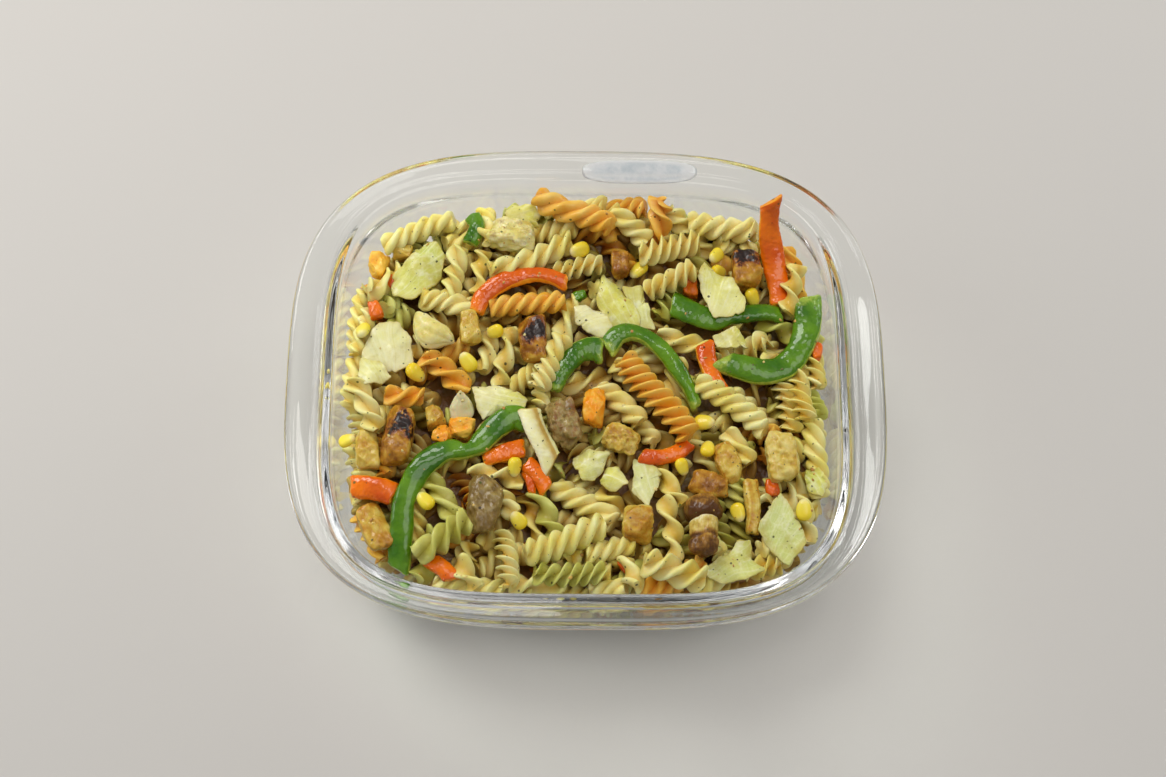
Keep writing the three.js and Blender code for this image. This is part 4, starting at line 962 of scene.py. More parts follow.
def strip_flesh(turn, from_end, flesh, sided, ends=0.0):
    """Where pale flesh shows: on the cut edge of one side, below, on the cut ends, and fading from the ends
    over a length in mm."""
    edge = turn if sided > 0 else (0.5 - turn) % 1.0
    edge = np.minimum(edge, 1 - edge)
    shown = np.clip((0.02 + 0.12 * flesh - edge) / 0.03 + 0.5, 0, 1)
    under = np.clip((0.2 - np.abs(turn - 0.75)) / 0.04 + 0.5, 0, 1)
    fading = 0.62 * np.clip(1.1 - from_end / ends, 0, 1) if ends else 0
    return np.maximum(np.maximum(shown, under), np.maximum(np.clip(1.3 - from_end / 0.5, 0, 1), fading))


def make_strip(node, width, thick, path, flesh, sided, pinch, seed):
    """One strip, with its further prongs where it is forked."""
    made = [strip_points(path, width, thick, seed, pinch, slant=SLANTS.get(node))]
    made += [strip_points(*prong, other) for other, prong in enumerate(PRONGS.get(node, ()), seed + 50)]
    points, turn, from_end = (np.concatenate(values) for values in zip(*made))
    pale = strip_flesh(turn, from_end, flesh, sided, PALE_ENDS.get(node, 0))
    return mesh_object(node + "_cut", points, *tube_faces(len(made), STRIP_ROWS, STRIP_AROUND), flesh=pale)


def pepper_material(name, skin, dark, flesh, deep):
    """Pepper: skin that shades from bright to dark in long soft patches, and paler flesh where it is cut."""
    material, shade, surface = new_material(name)
    where = shade.place()
    body = shade.mix(shade.ramp(shade.noise(where, 75, 3), (0.38, 0.0), (0.64, 1.0)), skin, dark)
    wet = shade.mix(shade.ramp(shade.noise(where, 260, 3), (0.35, 0.0), (0.7, 1.0)), flesh, deep)
    ragged = shade.math("MULTIPLY_ADD", shade.noise(where, 300, 4, 0.6), 1.1, -0.55)
    edge = shade.math("ADD", shade.attribute("flesh"), ragged)
    colour = shade.mix(shade.ramp(edge, (0.35, 0.0), (0.65, 1.0)), body, wet)
    colour = add_specks(shade, colour, 0.3)
    shade.put(surface, Base_Color=colour, Subsurface_Weight=0.15, Subsurface_Scale=0.003, IOR=1.36,
              Subsurface_Radius=(0.8, 0.6, 0.1), Coat_Weight=0.65, Coat_Roughness=0.05)
    add_skin(shade, surface, 0.45, 0.16, 0.0022, 300)
    return material


green_pepper = pepper_material("green_pepper_skin", (0.115, 0.26, 0.004), (0.04, 0.14, 0.002),
                               (0.42, 0.5, 0.07), (0.22, 0.36, 0.02))
red_pepper = pepper_material("red_pepper_skin", (0.87, 0.185, 0.001), (0.64, 0.085, 0.001),
                             (0.93, 0.38, 0.02), (0.87, 0.25, 0.004))
for strips, first_seed, finish, slot in ((GREEN_STRIPS, 100, green_pepper, "green_pepper"),
                                         (RED_STRIPS, 120, red_pepper, "red_pepper")):
    for seed, (node, *strip) in enumerate(strips, first_seed):
        serve(make_strip(node, *strip, seed), finish, node)

# Cabbage. Thin cut pieces of cooked leaf, 1 to 2 mm thick, wavy and cupped, with raised pale veins: some
# still yellow-green, some nearly white from the heart, some clear and oily from the pan.

LEAF_AROUND, LEAF_SEED = 168, 140
# How much of a fresh pale green each leaf keeps.
GREENISH = {"cabbage_diamond": 0.75, "cabbage_curly_front": 0.5, "cabbage_clear_front": 0.45,
            "cabbage_pale_middle": 0.3, "cabbage_green_back_left": 0.25, "cabbage_lobe_front": 0.3,
            "cabbage_yellow_right": 0.2}
# Name, height of the middle above the mound, slope along x and y, cupping, wave, thickness, tone from 0 for
# white over 0.5 for yellow to 1 for green and how much it grows towards the ribs' heading in degrees, and
# the cut outline, all in mm.
LEAVES = [
    ("cabbage_over_pepper", 7, (0.03, 0.02), 0, 0.8, 2.2, 0.4, 0.25, 70,
     [(57, 33.5), (71, 36.5), (71.5, 42), (66, 55), (57.5, 56), (53, 62.5), (49.5, 54), (53, 42)]),
    ("cabbage_white_middle", 5.4, (0, 0), -1.4, 0.8, 2.4, 0.12, 0.1, 20,
     [(9, 24.5), (12, 31), (10, 38), (0, 41.5), (-6, 40), (-5, 33), (0, 28)]),
    ("cabbage_yellow_middle", 4.6, (0, 0), -1.6, 0.8, 2.2, 0.62, 0.2, 115,
     [(12, 29), (24, 29), (25, 38), (20, 45), (15, 52), (8, 58.5), (5, 50), (4.5, 42)]),
    ("cabbage_pale_middle", 3.2, (0, 0), -1, 0.8, 2, 0.3, 0.2, 100,
     [(22, 30), (31.5, 31), (29, 40), (25.5, 53), (16, 52), (19, 40)]),
    ("cabbage_square", 4.6, (0, 0.05), 0, 0.8, 2.2, 0.45, 0.2, 40,
     [(58.5, 20.5), (73, 21), (70, 27), (67, 32), (56, 27)]),
    ("cabbage_diamond", 6, (-0.05, 0.08), 0, 0.8, 2.2, 0.5, -0.2, 65,
     [(87, -80), (95.5, -69), (90.5, -57), (84.5, -46), (77, -56.5), (73, -64.5), (80, -75)]),
    ("cabbage_curly_front", 4.8, (0, 0), 0, 1.6, 1.8, 0.5, 0.3, 30,
     [(52, -86), (60, -88), (69, -86), (77, -81.5), (71, -76), (71, -68.5), (65.5, -68), (61, -74),
      (55, -77.5), (48.5, -82)]),
    ("cabbage_white_left", 5.2, (0, 0), -1.4, 0.8, 2.4, 0.3, -0.25, 170,
     [(-49, -6), (-45, -15), (-38, -9), (-27, -9), (-24.5, -4), (-30, -0.5), (-42, 3.5), (-50, 2.5)]),
    ("cabbage_cream_left", 7.2, (0, -0.05), -1, 0.8, 2.2, 0.22, 0.1, 120,
     [(-85, 6), (-90, 13), (-99, 15), (-101, 6), (-97, 0.5), (-90, 2)]),
    ("cabbage_pale_left", 5.2, (0, 0), -2, 0.8, 2.4, 0.1, 0.15, 100,
     [(-76, 12), (-77, 25), (-83, 34), (-92, 34), (-98, 23), (-100, 14), (-92, 9), (-85, 8)]),
    ("cabbage_green_back_left", 6, (0, 0), -2.4, 0.8, 2.4, 0.72, 0.25, 50,
     [(-66, 53), (-63, 65), (-67, 74), (-73, 73), (-81, 65), (-88, 57), (-87, 45.5), (-77, 44)]),
    ("cabbage_back", 5, (0, 0.12), -1.5, 0.8, 2, 0.5, 0.2, 10,
     [(-21, 80), (-20, 86), (-26, 91), (-33, 91), (-37.5, 86), (-36, 82)]),
    ("cabbage_lobe_front", 5.4, (0, 0), -1.8, 0.8, 2.4, 0.45, -0.15, 20,
     [(-2, -42), (4, -42), (8.5, -36), (11, -28.5), (1, -27.5), (-6, -30.5), (-5, -37)]),
    ("cabbage_shard_front", 3, (0, 0), -1, 0.8, 2, 0.45, 0.3, 150,
     [(5, -42), (13, -46.5), (19, -43), (15, -34), (9.5, -35)]),
    ("cabbage_clear_front", 3.8, (0, 0), -1, 0.8, 2, 0.2, 0.1, 110,
     [(20, -47), (27, -54), (31, -45), (34, -38), (28, -33), (20.5, -31)]),
    ("cabbage_yellow_right", 4.4, (0, 0), -1.4, 0.8, 2.4, 0.75, 0.2, 120,
     [(96.5, -46), (102.5, -48.5), (106, -41), (101.5, -33.5), (96, -34.5), (94.5, -41)]),
]


def rounded(corners, count=LEAF_AROUND):
    """A closed outline, its corners cut round: each side is cut at 0.08 and 0.92, twice, then spaced."""
    line = np.asarray(corners, float)
    for _ in range(2):
        after = np.roll(line, -1, axis=0)
        line = np.stack([0.92 * line + 0.08 * after, 0.08 * line + 0.92 * after], 1).reshape(-1, 2)
    line = np.vstack([line, line[:1]])
    gone = np.concatenate([[0], np.cumsum(np.linalg.norm(np.diff(line, axis=0), axis=1))])
    place = np.linspace(0, gone[-1], count, endpoint=False)
    return np.stack([np.interp(place, gone, line[:, i]) for i in (0, 1)], -1), place


def leaf_points(outline, lift, slope, cup, wave, thick, heading, seed):
    """Rings from the leaf's middle to its cut edge and back below. The edge is ragged by sines and torn
    once. The height is the mound's plus lift, tipped by the slope, cupped by the square of the way out,
    curled by two and three sine waves round the edge, and raised along ribs that fan out from a point 32 mm
    behind the middle."""
    random = np.random.default_rng(seed)
    corners = np.array(outline, float)
    middle = corners.mean(0)
    edge, place = rounded(corners)
    aside = np.roll(edge, -1, axis=0) - np.roll(edge, 1, axis=0)
    aside = np.stack([aside[:, 1], -aside[:, 0]], -1) / np.linalg.norm(aside, axis=1)[:, None]
    total = place[-1] + place[1]
    waves = random.uniform(0, 6.28, 10)
    ragged = sum(deep * np.sin(2 * np.pi * round(total / long) * place / total + waves[i])
                 for i, (long, deep) in enumerate(((11, 0.3), (5.2, 0.12), (2.6, 0.05), (1.5, 0.03))))
    for tear in random.uniform(0, total, 1):
        gap = (place - tear + total / 2) % total - total / 2
        ragged -= 1.0 * np.exp(-((gap / 0.9) ** 2))
    edge = edge + aside * (ragged - 0.3)[:, None] * np.sign(((edge - middle) * aside).sum())
    shares = np.concatenate([np.linspace(0.06, 0.9, 17), [0.95, 0.985, 1.0, 1.0, 0.985],
                             np.linspace(0.93, 0.06, 8)])
    below = np.concatenate([np.zeros(19), [0.2, 0.8], np.ones(9)])[:, None]
    flat = middle + (edge - middle)[None] * shares[:, None, None]
    x, y = flat[..., 0], flat[..., 1]
    away = flat - middle
    u, v = turned(away[..., 0], away[..., 1], -math.radians(heading))
    behind = 32
    fan = np.arctan2(v + 0.5 * np.sin(u / 4 + waves[4]), u + behind) * behind
    rib = np.exp(-((np.sin(np.pi * fan / 4.2 + waves[5]) / 0.3) ** 2)) * (0.75 + 0.25 * np.sin(u / 3 + fan))
    bearing = np.arctan2(away[..., 1], away[..., 0])
    share = shares[:, None]
    high = (mound(middle[0] * MM, middle[1] * MM) / MM + lift
            + slope[0] * away[..., 0] + slope[1] * away[..., 1]
            + cup * share**2 + 0.8 * wave * np.sin(x / 3.1 + y / 4.3)
            + share**2 * (0.9 * np.sin(2 * bearing + waves[6]) + 0.6 * np.sin(3 * bearing + waves[7]))
            + 0.16 * np.sin(x / 2.1 - y / 2.9 + waves[8]) + 0.07 * np.sin(x / 1.2 + y / 1.5 + waves[9])
            + 0.25 * share**3 * np.sin(7 * bearing + waves[3]))
    thickness = min(thick, 1.7) * (1 - 0.45 * share**3)
    points = np.stack([x, y, high + 0.13 * rib * (below == 0) - thickness * below], -1)
    caps = np.array([(*middle, points[0, :, 2].mean()), (*middle, points[-1, :, 2].mean())])
    size = np.abs(u).max()
    return (np.vstack([points.reshape(-1, 3), caps]) * MM, np.append(rib.ravel(), (0.5, 0.5)),
            np.append((u / size).ravel(), (0, 0)), np.append(fan.ravel(), (0, 0)), shares)


def make_leaf(node, lift, slope, cup, wave, thick, tone, fade, heading, outline, seed):
    """One leaf, with its ribs, the way out to its edge, its strands, its tone and its green as values."""
    points, vein, along, fan, shares = leaf_points(outline, lift, slope, cup, wave, thick, heading, seed)
    out = np.append(np.repeat(shares, LEAF_AROUND), (0, 0))
    return mesh_object(node + "_leaf", points, *tube_faces(1, len(shares), LEAF_AROUND), vein=vein, out=out,
                       fan=fan + seed, tone=tone + fade * along,
                       green=np.full(len(points), GREENISH.get(node, 0.05)))


def make_rib():
    """The thick rib over the front green strip: a strip whose side at 0.2 of the way round is browned by
    the pan."""
    path = [(-25, -10, 6.8), (-21.5, -20, 7), (-16.5, -30, 6.2), (-14.5, -36, 4.5)]
    points, turn, from_end = strip_points(path, (11, 8.5), 2.6, seed=160, arch=0.8, slant=(0.3, -1.1))
    browned = 1.25 - np.minimum(from_end / 3, np.abs(turn - 0.2) / 0.16)
    return mesh_object("cabbage_rib_cut", points, *tube_faces(1, STRIP_ROWS, STRIP_AROUND),
                       tone=0.2 + 0.25 * np.cos(2 * np.pi * turn), fan=14 * np.abs(turn - 0.5),
                       vein=np.sin(np.pi * turn * 4) ** 8, out=np.clip(browned, 0.3, 1.12),
                       green=np.zeros(len(points)))


def cabbage_material():
    """Cooked cabbage: white, yellow or green by its tone, paler ribs, a net of fine veins, strands that fan
    out along the leaf, oily clear patches and browned edges."""
    material, shade, surface = new_material("cabbage_leaf")
    where = shade.place()
    drift = shade.math("MULTIPLY_ADD", shade.noise(where, 110, 3), 0.6, -0.3)
    tone = shade.math("ADD", shade.attribute("tone"), drift)
    body = shade.ramp(tone, (0.0, (0.86, 0.79, 0.45)), (0.3, (0.8, 0.76, 0.3)), (0.6, (0.76, 0.72, 0.13)),
                      (1.0, (0.46, 0.49, 0.05)))
    body = shade.mix(shade.attribute("green"), body, (0.55, 0.62, 0.22))
    body = shade.mix(shade.math("MULTIPLY", shade.attribute("vein"), 0.42), body, (0.88, 0.86, 0.55))
    net = shade.put(shade.node("ShaderNodeTexVoronoi", feature="DISTANCE_TO_EDGE"), Vector=where, Scale=330.0)
    fine = shade.ramp(net.outputs["Distance"], (0.0, 0.22), (0.09, 0.0))
    body = shade.mix(fine, body, (0.84, 0.84, 0.58))
    strand = shade.noise(shade.attribute("fan"), 0.8, 4, 0.75, one=True)
    body = shade.mix(shade.ramp(strand, (0.3, 0.35), (0.44, 0.0)), body, (0.6, 0.55, 0.14))
    body = shade.mix(shade.ramp(strand, (0.54, 0.0), (0.7, 0.36)), body, (0.9, 0.88, 0.6))
    clear = shade.ramp(shade.noise(where, 80, 4, 0.6), (0.5, 0.0), (0.62, 0.55))
    body = shade.mix(clear, body, (0.56, 0.48, 0.1))
    white = shade.ramp(shade.noise(where, 120, 3, 0.6), (0.56, 0.0), (0.7, 0.6))
    body = shade.mix(white, body, (0.9, 0.88, 0.62))
    worn = shade.math("MULTIPLY", shade.math("POWER", shade.attribute("out"), 9), shade.noise(where, 160, 3))
    body = shade.mix(shade.math("MULTIPLY", worn, 0.8, clamp=True), body, (0.5, 0.32, 0.065))
    colour = add_specks(shade, body, 0.16)
    shade.put(surface, Base_Color=colour, Subsurface_Weight=0.35, Subsurface_Scale=0.004, IOR=1.42,
              Subsurface_Radius=(1.0, 0.9, 0.35), Coat_Weight=0.2, Coat_Roughness=0.15)
    add_skin(shade, surface, 0.55, 0.24, 0.0007, 420)
    return material


cabbage = cabbage_material()
for seed, (node, *leaf) in enumerate(LEAVES, LEAF_SEED):
    serve(make_leaf(node, *leaf, seed), cabbage, node)
serve(make_rib(), cabbage, "cabbage_rib")

# Chunks. Diced vegetables 7 to 27 mm long, cut square and roasted: carrot, golden browned cubes, some charred
# on top, pale onion, and pieces of mushroom. Each was cut by hand, so its faces are uneven.

CHUNK_ROWS, CHUNK_AROUND, CHUNK_SEED = 58, 76, 170
# How rough the pieces of mushroom are beside the others.
ROUGH = {"grey_chunk": 2.0, "mushroom_grey": 1.5, "mushroom_right": 1.6, "roasted_chunk_middle": 1.7}
# How far a piece narrows towards its top; one that narrows much also leans back.
PEAKS = {"onion_cap": 0.86, "onion_chunk": 0.12}
# Where the charred patch of some lies: its middle across and along, and how far it spreads, in half sizes.
CHARRED = {"charred_wedge": (0.15, 0.32, 1.3, 0.42), "dark_topped_cube": (0.0, 0.7, 1.3, 0.75),
           "charred_cube": (0.1, 0.2, 0.95, 0.5)}
# Name, middle x and y, three sizes, turn in degrees, height off the core, squareness, kind of finish,
# tone from 0 for pale to 1 for brown, and how much of its top is charred.
CHUNKS = [
    ("onion_chunk", -68.5, 28, (24, 13.5, 11), -38, 0.6, 3.2, "onion", 0.35, 0.0),
    ("speckled_chunk", -33, 75.5, (21, 15, 12), -8, 0.6, 3.4, "onion", 0.45, 0.16),
    ("onion_cap", -54, -11.5, (16, 14, 14), 6, 2.2, 3.4, "onion", -0.05, 0.0),
    ("carrot_cube_right", -54.5, -17.5, (11, 9, 8), -12, 0.6, 6, "carrot", 0.2, 0.0),
    ("carrot_cube_left", -62.5, -21, (8, 8, 8), -25, 0.6, 6, "carrot", 0.3, 0.0),
    ("roasted_cube_left", -66, -12, (8, 10, 8), 12, 0.6, 6, "roasted", 0.55, 0.1),
    ("charred_cube", -23.5, 23, (12.5, 21, 13), 5, 0.6, 3.6, "roasted", 0.85, 1.0),
    ("charred_wedge", -81.5, -22.5, (13, 27, 13), -8, 0.6, 3.4, "roasted", 0.74, 1.0),
    ("roasted_wedge_left", -95, -28, (10.5, 17, 9), 8, 0.6, 4.5, "roasted", 0.3, 0.1),
    ("roasted_slice_left", -90.5, -62, (12, 21, 8), 24, 0.6, 4, "roasted", 0.6, 0.05),
    ("grey_chunk", -9.5, -16, (13, 21, 12), 14, 0.6, 4, "mushroom", 0.15, 0.2),
    ("carrot_middle", 3.5, -8.5, (9.5, 16, 10), -4, 0.6, 5, "carrot", 0.35, 0.0),
    ("roasted_chunk_middle", 15.5, -23, (16, 12, 10), -18, 0.6, 2.8, "roasted", 0.34, 0.15),
    ("dark_topped_cube", 72.5, 59.5, (13, 18, 13), 4, 0.6, 5, "roasted", 0.82, 0.9),
    ("mushroom_right", 85.5, -31, (14, 22, 12), 4, 0.6, 2.6, "roasted", 0.16, 0.12),
    ("roasted_cube_front", 53.5, -43.5, (17, 11, 9), -12, 0.6, 2.4, "roasted", 0.72, 0.1),
    ("roasted_oval", 62, -33.5, (11, 19, 9), 16, 0.8, 1.6, "roasted", 0.5, 0.05),
    ("roasted_chunk_front", 22.5, -61, (13, 16, 11), -4, 0.6, 4, "roasted", 0.55, 0.05),
    ("mushroom_grey", -43.5, -54.5, (14, 24, 12), -5, 0.6, 3.2, "mushroom", 0.3, 0.1),
    ("orange_cube_back_left", -94, 64, (8.5, 11, 9), -12, 0.6, 6, "carrot", 0.0, 0.05),
    ("roasted_cube_back_left", -83, 70, (9, 7, 8), -8, 0.6, 5, "roasted", 0.45, 0.05),
    ("roasted_cube_back", 15.5, 62.5, (8, 12, 8), 0, 0.6, 4.5, "roasted", 0.75, 0.2),
    ("roasted_cube_middle_left", -51.5, 29.5, (9, 15, 9), 6, 0.6, 4.5, "roasted", 0.4, 0.05),
    ("roasted_sliver_right", 47, 53, (6.5, 13, 7), 0, 0.6, 4.5, "carrot", 0.9, 0.1),
]


def ball_ways(rows, around, cap):
    """Directions over a ball: rings whose angle from the upper pole runs from the cap to as far off the
    lower one, then both poles."""
    polar = np.linspace(cap, np.pi - cap, rows)[:, None]
    angle = np.linspace(0, 2 * np.pi, around, endpoint=False)[None]
    way = np.stack([np.sin(polar) * np.cos(angle), np.sin(polar) * np.sin(angle),
                    np.broadcast_to(np.cos(polar), (rows, around))], -1)
    return np.vstack([way.reshape(-1, 3), (0, 0, 1), (0, 0, -1)])


def chunk_points(at, size, turn, lift, square, seed, cuts, lobes, peak, rough=1.0, rows=CHUNK_ROWS,
                 around=CHUNK_AROUND):
    """Directions over a ball, pushed out to a rounded box whose corners follow the given power. Seeded
    planes shave it, lobes swell and pinch it round its length, and sums of sines from 7 mm down to 1.1 mm
    long roughen it. One that isn't shaved is a bulb's petal, bent, pointed at one end, with ridges along
    its length and a smoother skin."""
    random = np.random.default_rng(seed)
    way = ball_ways(rows, around, 0.04)
    box = way / (np.abs(way) ** square).sum(1)[:, None] ** (1 / square)
    shaped = box.copy()
    for _ in range(cuts):
        normal = random.choice([-1, 1], 3) * random.uniform(0.35, 1, 3)
        normal /= np.linalg.norm(normal)
        over = np.maximum(shaped @ normal - random.uniform(0.95, 1.15), 0)
        shaped -= 0.92 * over[:, None] * normal
    shaped[:, 1:2] *= 1 + random.uniform(-0.13, 0.13) * box[:, 2:3] + random.uniform(-0.12, 0.12) * box[:, :1]
    shaped[:, :1] *= 1 + random.uniform(-0.12, 0.12) * box[:, 1:2]
    shaped *= 1 + lobes * np.sin(2.4 * shaped[:, 1:2] * np.array([1, 0, 1]) + random.uniform(0, 6.28))
    local = shaped * np.array(size) / 2
    uneven = np.zeros(len(way))
    local[:, :2] *= 1 - peak * (box[:, 2:] + 1) / 2
    local[:, 1] += 0.6 * peak * size[2] * (box[:, 2] + 1) / 2 if peak > 0.3 else 0
    if not cuts:
        local[:, 1:] *= 1.08 + 0.12 * box[:, :1] - 0.75 * np.maximum(box[:, :1], 0) ** 3
        local[:, 1] -= 0.1 * size[1] * (1 - 2 * box[:, 0] ** 2)
        uneven += 0.55 * np.abs(np.sin(3.5 * np.arctan2(box[:, 2], box[:, 1]) + 0.9 * box[:, 0])) - 0.4
    for deep, long in ((0.3, 7), (0.26, 4.5), (0.2, 3), (0.16, 2.1), (0.12, 1.5), (0.1, 1.1)):
        for _ in range(4):
            toward = random.normal(size=3)
            toward /= np.linalg.norm(toward)
            wave = np.sin(2 * np.pi / long * local @ toward + random.uniform(0, 6.28))
            uneven += deep * rough * (0.5 if long > 2.5 else 0.32) * wave
    local += way * (0.62 * uneven - 0.25)[:, None]
    x, y = turned(local[:, 0], local[:, 1], math.radians(turn))
    z = local[:, 2] + mound(at[0] * MM, at[1] * MM) / MM - GAP_UNDER / MM + lift + size[2] / 2
    longest = np.abs(box).argmax(1)
    face = longest * 2 + (box[np.arange(len(box)), longest] > 0)
    shades = random.uniform(-0.14, 0.14, 6)
    return np.stack([x + at[0], y + at[1], z], -1) * MM, box, shades[face] - 0.12 * uneven


def make_chunk(node, x, y, size, turn, lift, square, kind, tone, char, seed):
    """One piece, with its tone by face, how charred it is, how near a corner, and the way along it as
    values. Petals of onion stay smooth and unshaved."""
    cuts, lobes, square, rough = 5, 0.03, square * 1.6, ROUGH.get(node, 1)
    if kind == "onion":
        cuts, lobes, square, rough = 0, 0.05, 2.3, 0.5
    if node == "speckled_chunk":
        cuts, lobes, square, rough = 7, 0.13, 4.2, 2.0
    if node == "onion_cap":
        cuts, lobes, square = 2, 0.03, 2.4
    points, box, shades = chunk_points((x, y), size, turn, lift, square, seed, cuts, lobes,
                                       PEAKS.get(node, 0), rough)
    corner = np.sort(np.abs(box), axis=1)[:, 1]
    burnt = char * np.clip(0.5 + 0.9 * box[:, 2], 0, 1)
    if node in CHARRED:
        x0, y0, wide, long = CHARRED[node]
        y0 = y0 + 0.16 * np.sin(4 * box[:, 0] + seed)
        away = ((box[:, 0] - x0) / wide) ** 2 + ((box[:, 1] - y0) / long) ** 2
        burnt = burnt * 1.3 * np.exp(-away) - 0.12
    return mesh_object(node + "_piece", points, *tube_faces(1, CHUNK_ROWS, CHUNK_AROUND), tone=tone + shades,
                       char=burnt, corner=corner, grain=box[:, 0] * size[0])


def chunk_material(name, tones, edge_colour, wet, bump, grain, clear):
    """Roasted chunk: its body's colour by tone with patches and a grain along its length, browner along its
    corners, and charred where the char value says so, near black in the middle of a patch and red-brown
    round it."""
    material, shade, surface = new_material(name)
    where = shade.place()
    patches = shade.noise(where, 170, 4, 0.6)
    stripes = shade.noise(shade.attribute("grain"), 2.2, 3, 0.7, one=True)
    mixed = shade.math("MULTIPLY_ADD", patches, 1.5, shade.math("MULTIPLY_ADD", stripes, 0.5, -1.0))
    body = shade.ramp(shade.math("ADD", shade.attribute("tone"), mixed), *tones)
    corner = shade.math("MULTIPLY_ADD", shade.noise(where, 260, 3), 0.5, shade.attribute("corner"))
    body = shade.mix(shade.ramp(corner, (1.0, 0.0), (1.35, 0.7)), body, edge_colour)
    uneven = shade.math("MULTIPLY_ADD", shade.noise(where, 260, 5, 0.8), 6.0, -1.9)
    burnt = shade.math("MULTIPLY_ADD", uneven, shade.attribute("char"), -0.05)
    body = shade.mix(shade.ramp(burnt, (0.12, 0.0), (0.4, 1.0)), body, (0.24, 0.065, 0.012))
    body = shade.mix(shade.ramp(burnt, (0.38, 0.0), (0.62, 1.0)), body, (0.02, 0.009, 0.006))
    colour = add_specks(shade, body, 0.25)
    shade.put(surface, Base_Color=colour, Subsurface_Weight=clear, Subsurface_Scale=0.004, IOR=1.42,
              Subsurface_Radius=(1.0, 0.55, 0.2), Coat_Weight=wet, Coat_Roughness=0.14)
    add_skin(shade, surface, 0.66, 0.3, bump, grain, 200)
    return material


# Each kind's material name, colours by tone, corner colour, wetness, grain height and scale, and clearness.
FINISHES = {
    "roasted": ("roasted_cube", ((0.0, (0.74, 0.61, 0.2)), (0.35, (0.62, 0.43, 0.06)),
                                 (0.7, (0.48, 0.22, 0.014)), (1.0, (0.24, 0.08, 0.005))),
                (0.34, 0.15, 0.012), 0.4, 0.0007, 420, 0.35),
    "carrot": ("roasted_carrot", ((0.0, (0.86, 0.5, 0.06)), (0.4, (0.88, 0.31, 0.008)),
                                  (1.0, (0.62, 0.13, 0.004))),
               (0.85, 0.36, 0.03), 0.25, 0.0006, 500, 0.15),
    "onion": ("soft_onion", ((0.0, (0.84, 0.78, 0.46)), (0.5, (0.76, 0.66, 0.2)), (1.0, (0.56, 0.4, 0.07))),
              (0.76, 0.66, 0.24), 0.4, 0.0006, 500, 0.35),
    "mushroom": ("grey_mushroom", ((0.0, (0.38, 0.28, 0.09)), (0.4, (0.2, 0.12, 0.025)),
                                   (1.0, (0.09, 0.045, 0.008))),
                 (0.16, 0.09, 0.02), 0.45, 0.002, 330, 0.15),
}
KIND_SLOTS = {"roasted": "roasted", "carrot": "carrot", "onion": "cabbage", "mushroom": "mushroom"}
# The record keeps these in a slot that their kind alone doesn't give; the slot is worked out below but given
# to nothing.
OWN_SLOTS = {"speckled_chunk": "roasted", "mushroom_right": "mushroom", "roasted_sliver_right": "red_pepper"}


def make_stem():
    """The roasted stem: a strip nearly as thick as it is wide, grained along it and browned at its ends."""
    path = [(71.5, -41, 2), (72.2, -53, 3), (71.6, -65, 2)]
    points, turn, from_end = strip_points(path, (7, 6.5), 6, seed=161, arch=0.1, slant=(0.1, 0.1), rough=0.12)
    return mesh_object("roasted_stem_cut", points, *tube_faces(1, STRIP_ROWS, STRIP_AROUND),
                       tone=0.42 + 0.15 * np.sin(50 * turn), char=0.1 * np.clip(1 - from_end / 4, 0, 1),
                       corner=np.full(len(points), 0.5), grain=22 * np.abs(turn - 0.5))


chunk_finishes = {kind: chunk_material(*values) for kind, values in FINISHES.items()}
for seed, chunk in enumerate(CHUNKS, CHUNK_SEED):
    node, *_, kind, _, _ = chunk
    slot = OWN_SLOTS.get(node, KIND_SLOTS[kind])
    serve(make_chunk(*chunk, seed), chunk_finishes[kind], node)
serve(make_stem(), chunk_finishes["roasted"], "roasted_stem")

# The whole mushroom. A small brown cap mushroom, roasted whole and lying on its side near the front, 29 mm
# long and 16 mm across, its cut foot towards the dish's front.

# How far out its side is, in radii, by the share of the way from the dome to the foot.
MUSHROOM_SIDE = [(0.03, 0.0), (0.34, 0.008), (0.64, 0.05), (0.87, 0.14), (0.97, 0.25), (0.94, 0.33),
                 (0.8, 0.385), (0.64, 0.4), (0.64, 0.42), (0.73, 0.44), (0.74, 0.5), (0.72, 0.6),
                 (0.69, 0.68), (0.64, 0.715), (0.64, 0.735), (0.7, 0.78), (0.7, 0.85), (0.62, 0.93),
                 (0.4, 0.985), (0.03, 1.0)]
# Its tone by the same share: the darkest tones lie in the two pinches between the lobes, as painted shade in
# those creases.
MUSHROOM_TONES = ((0, 0.8), (0.22, 0.9), (0.36, 1.25), (0.4, 1.3), (0.43, 0.05), (0.47, 0.35), (0.64, 0.5),
                  (0.72, 1.1), (0.76, 0.8), (1, 1.0))


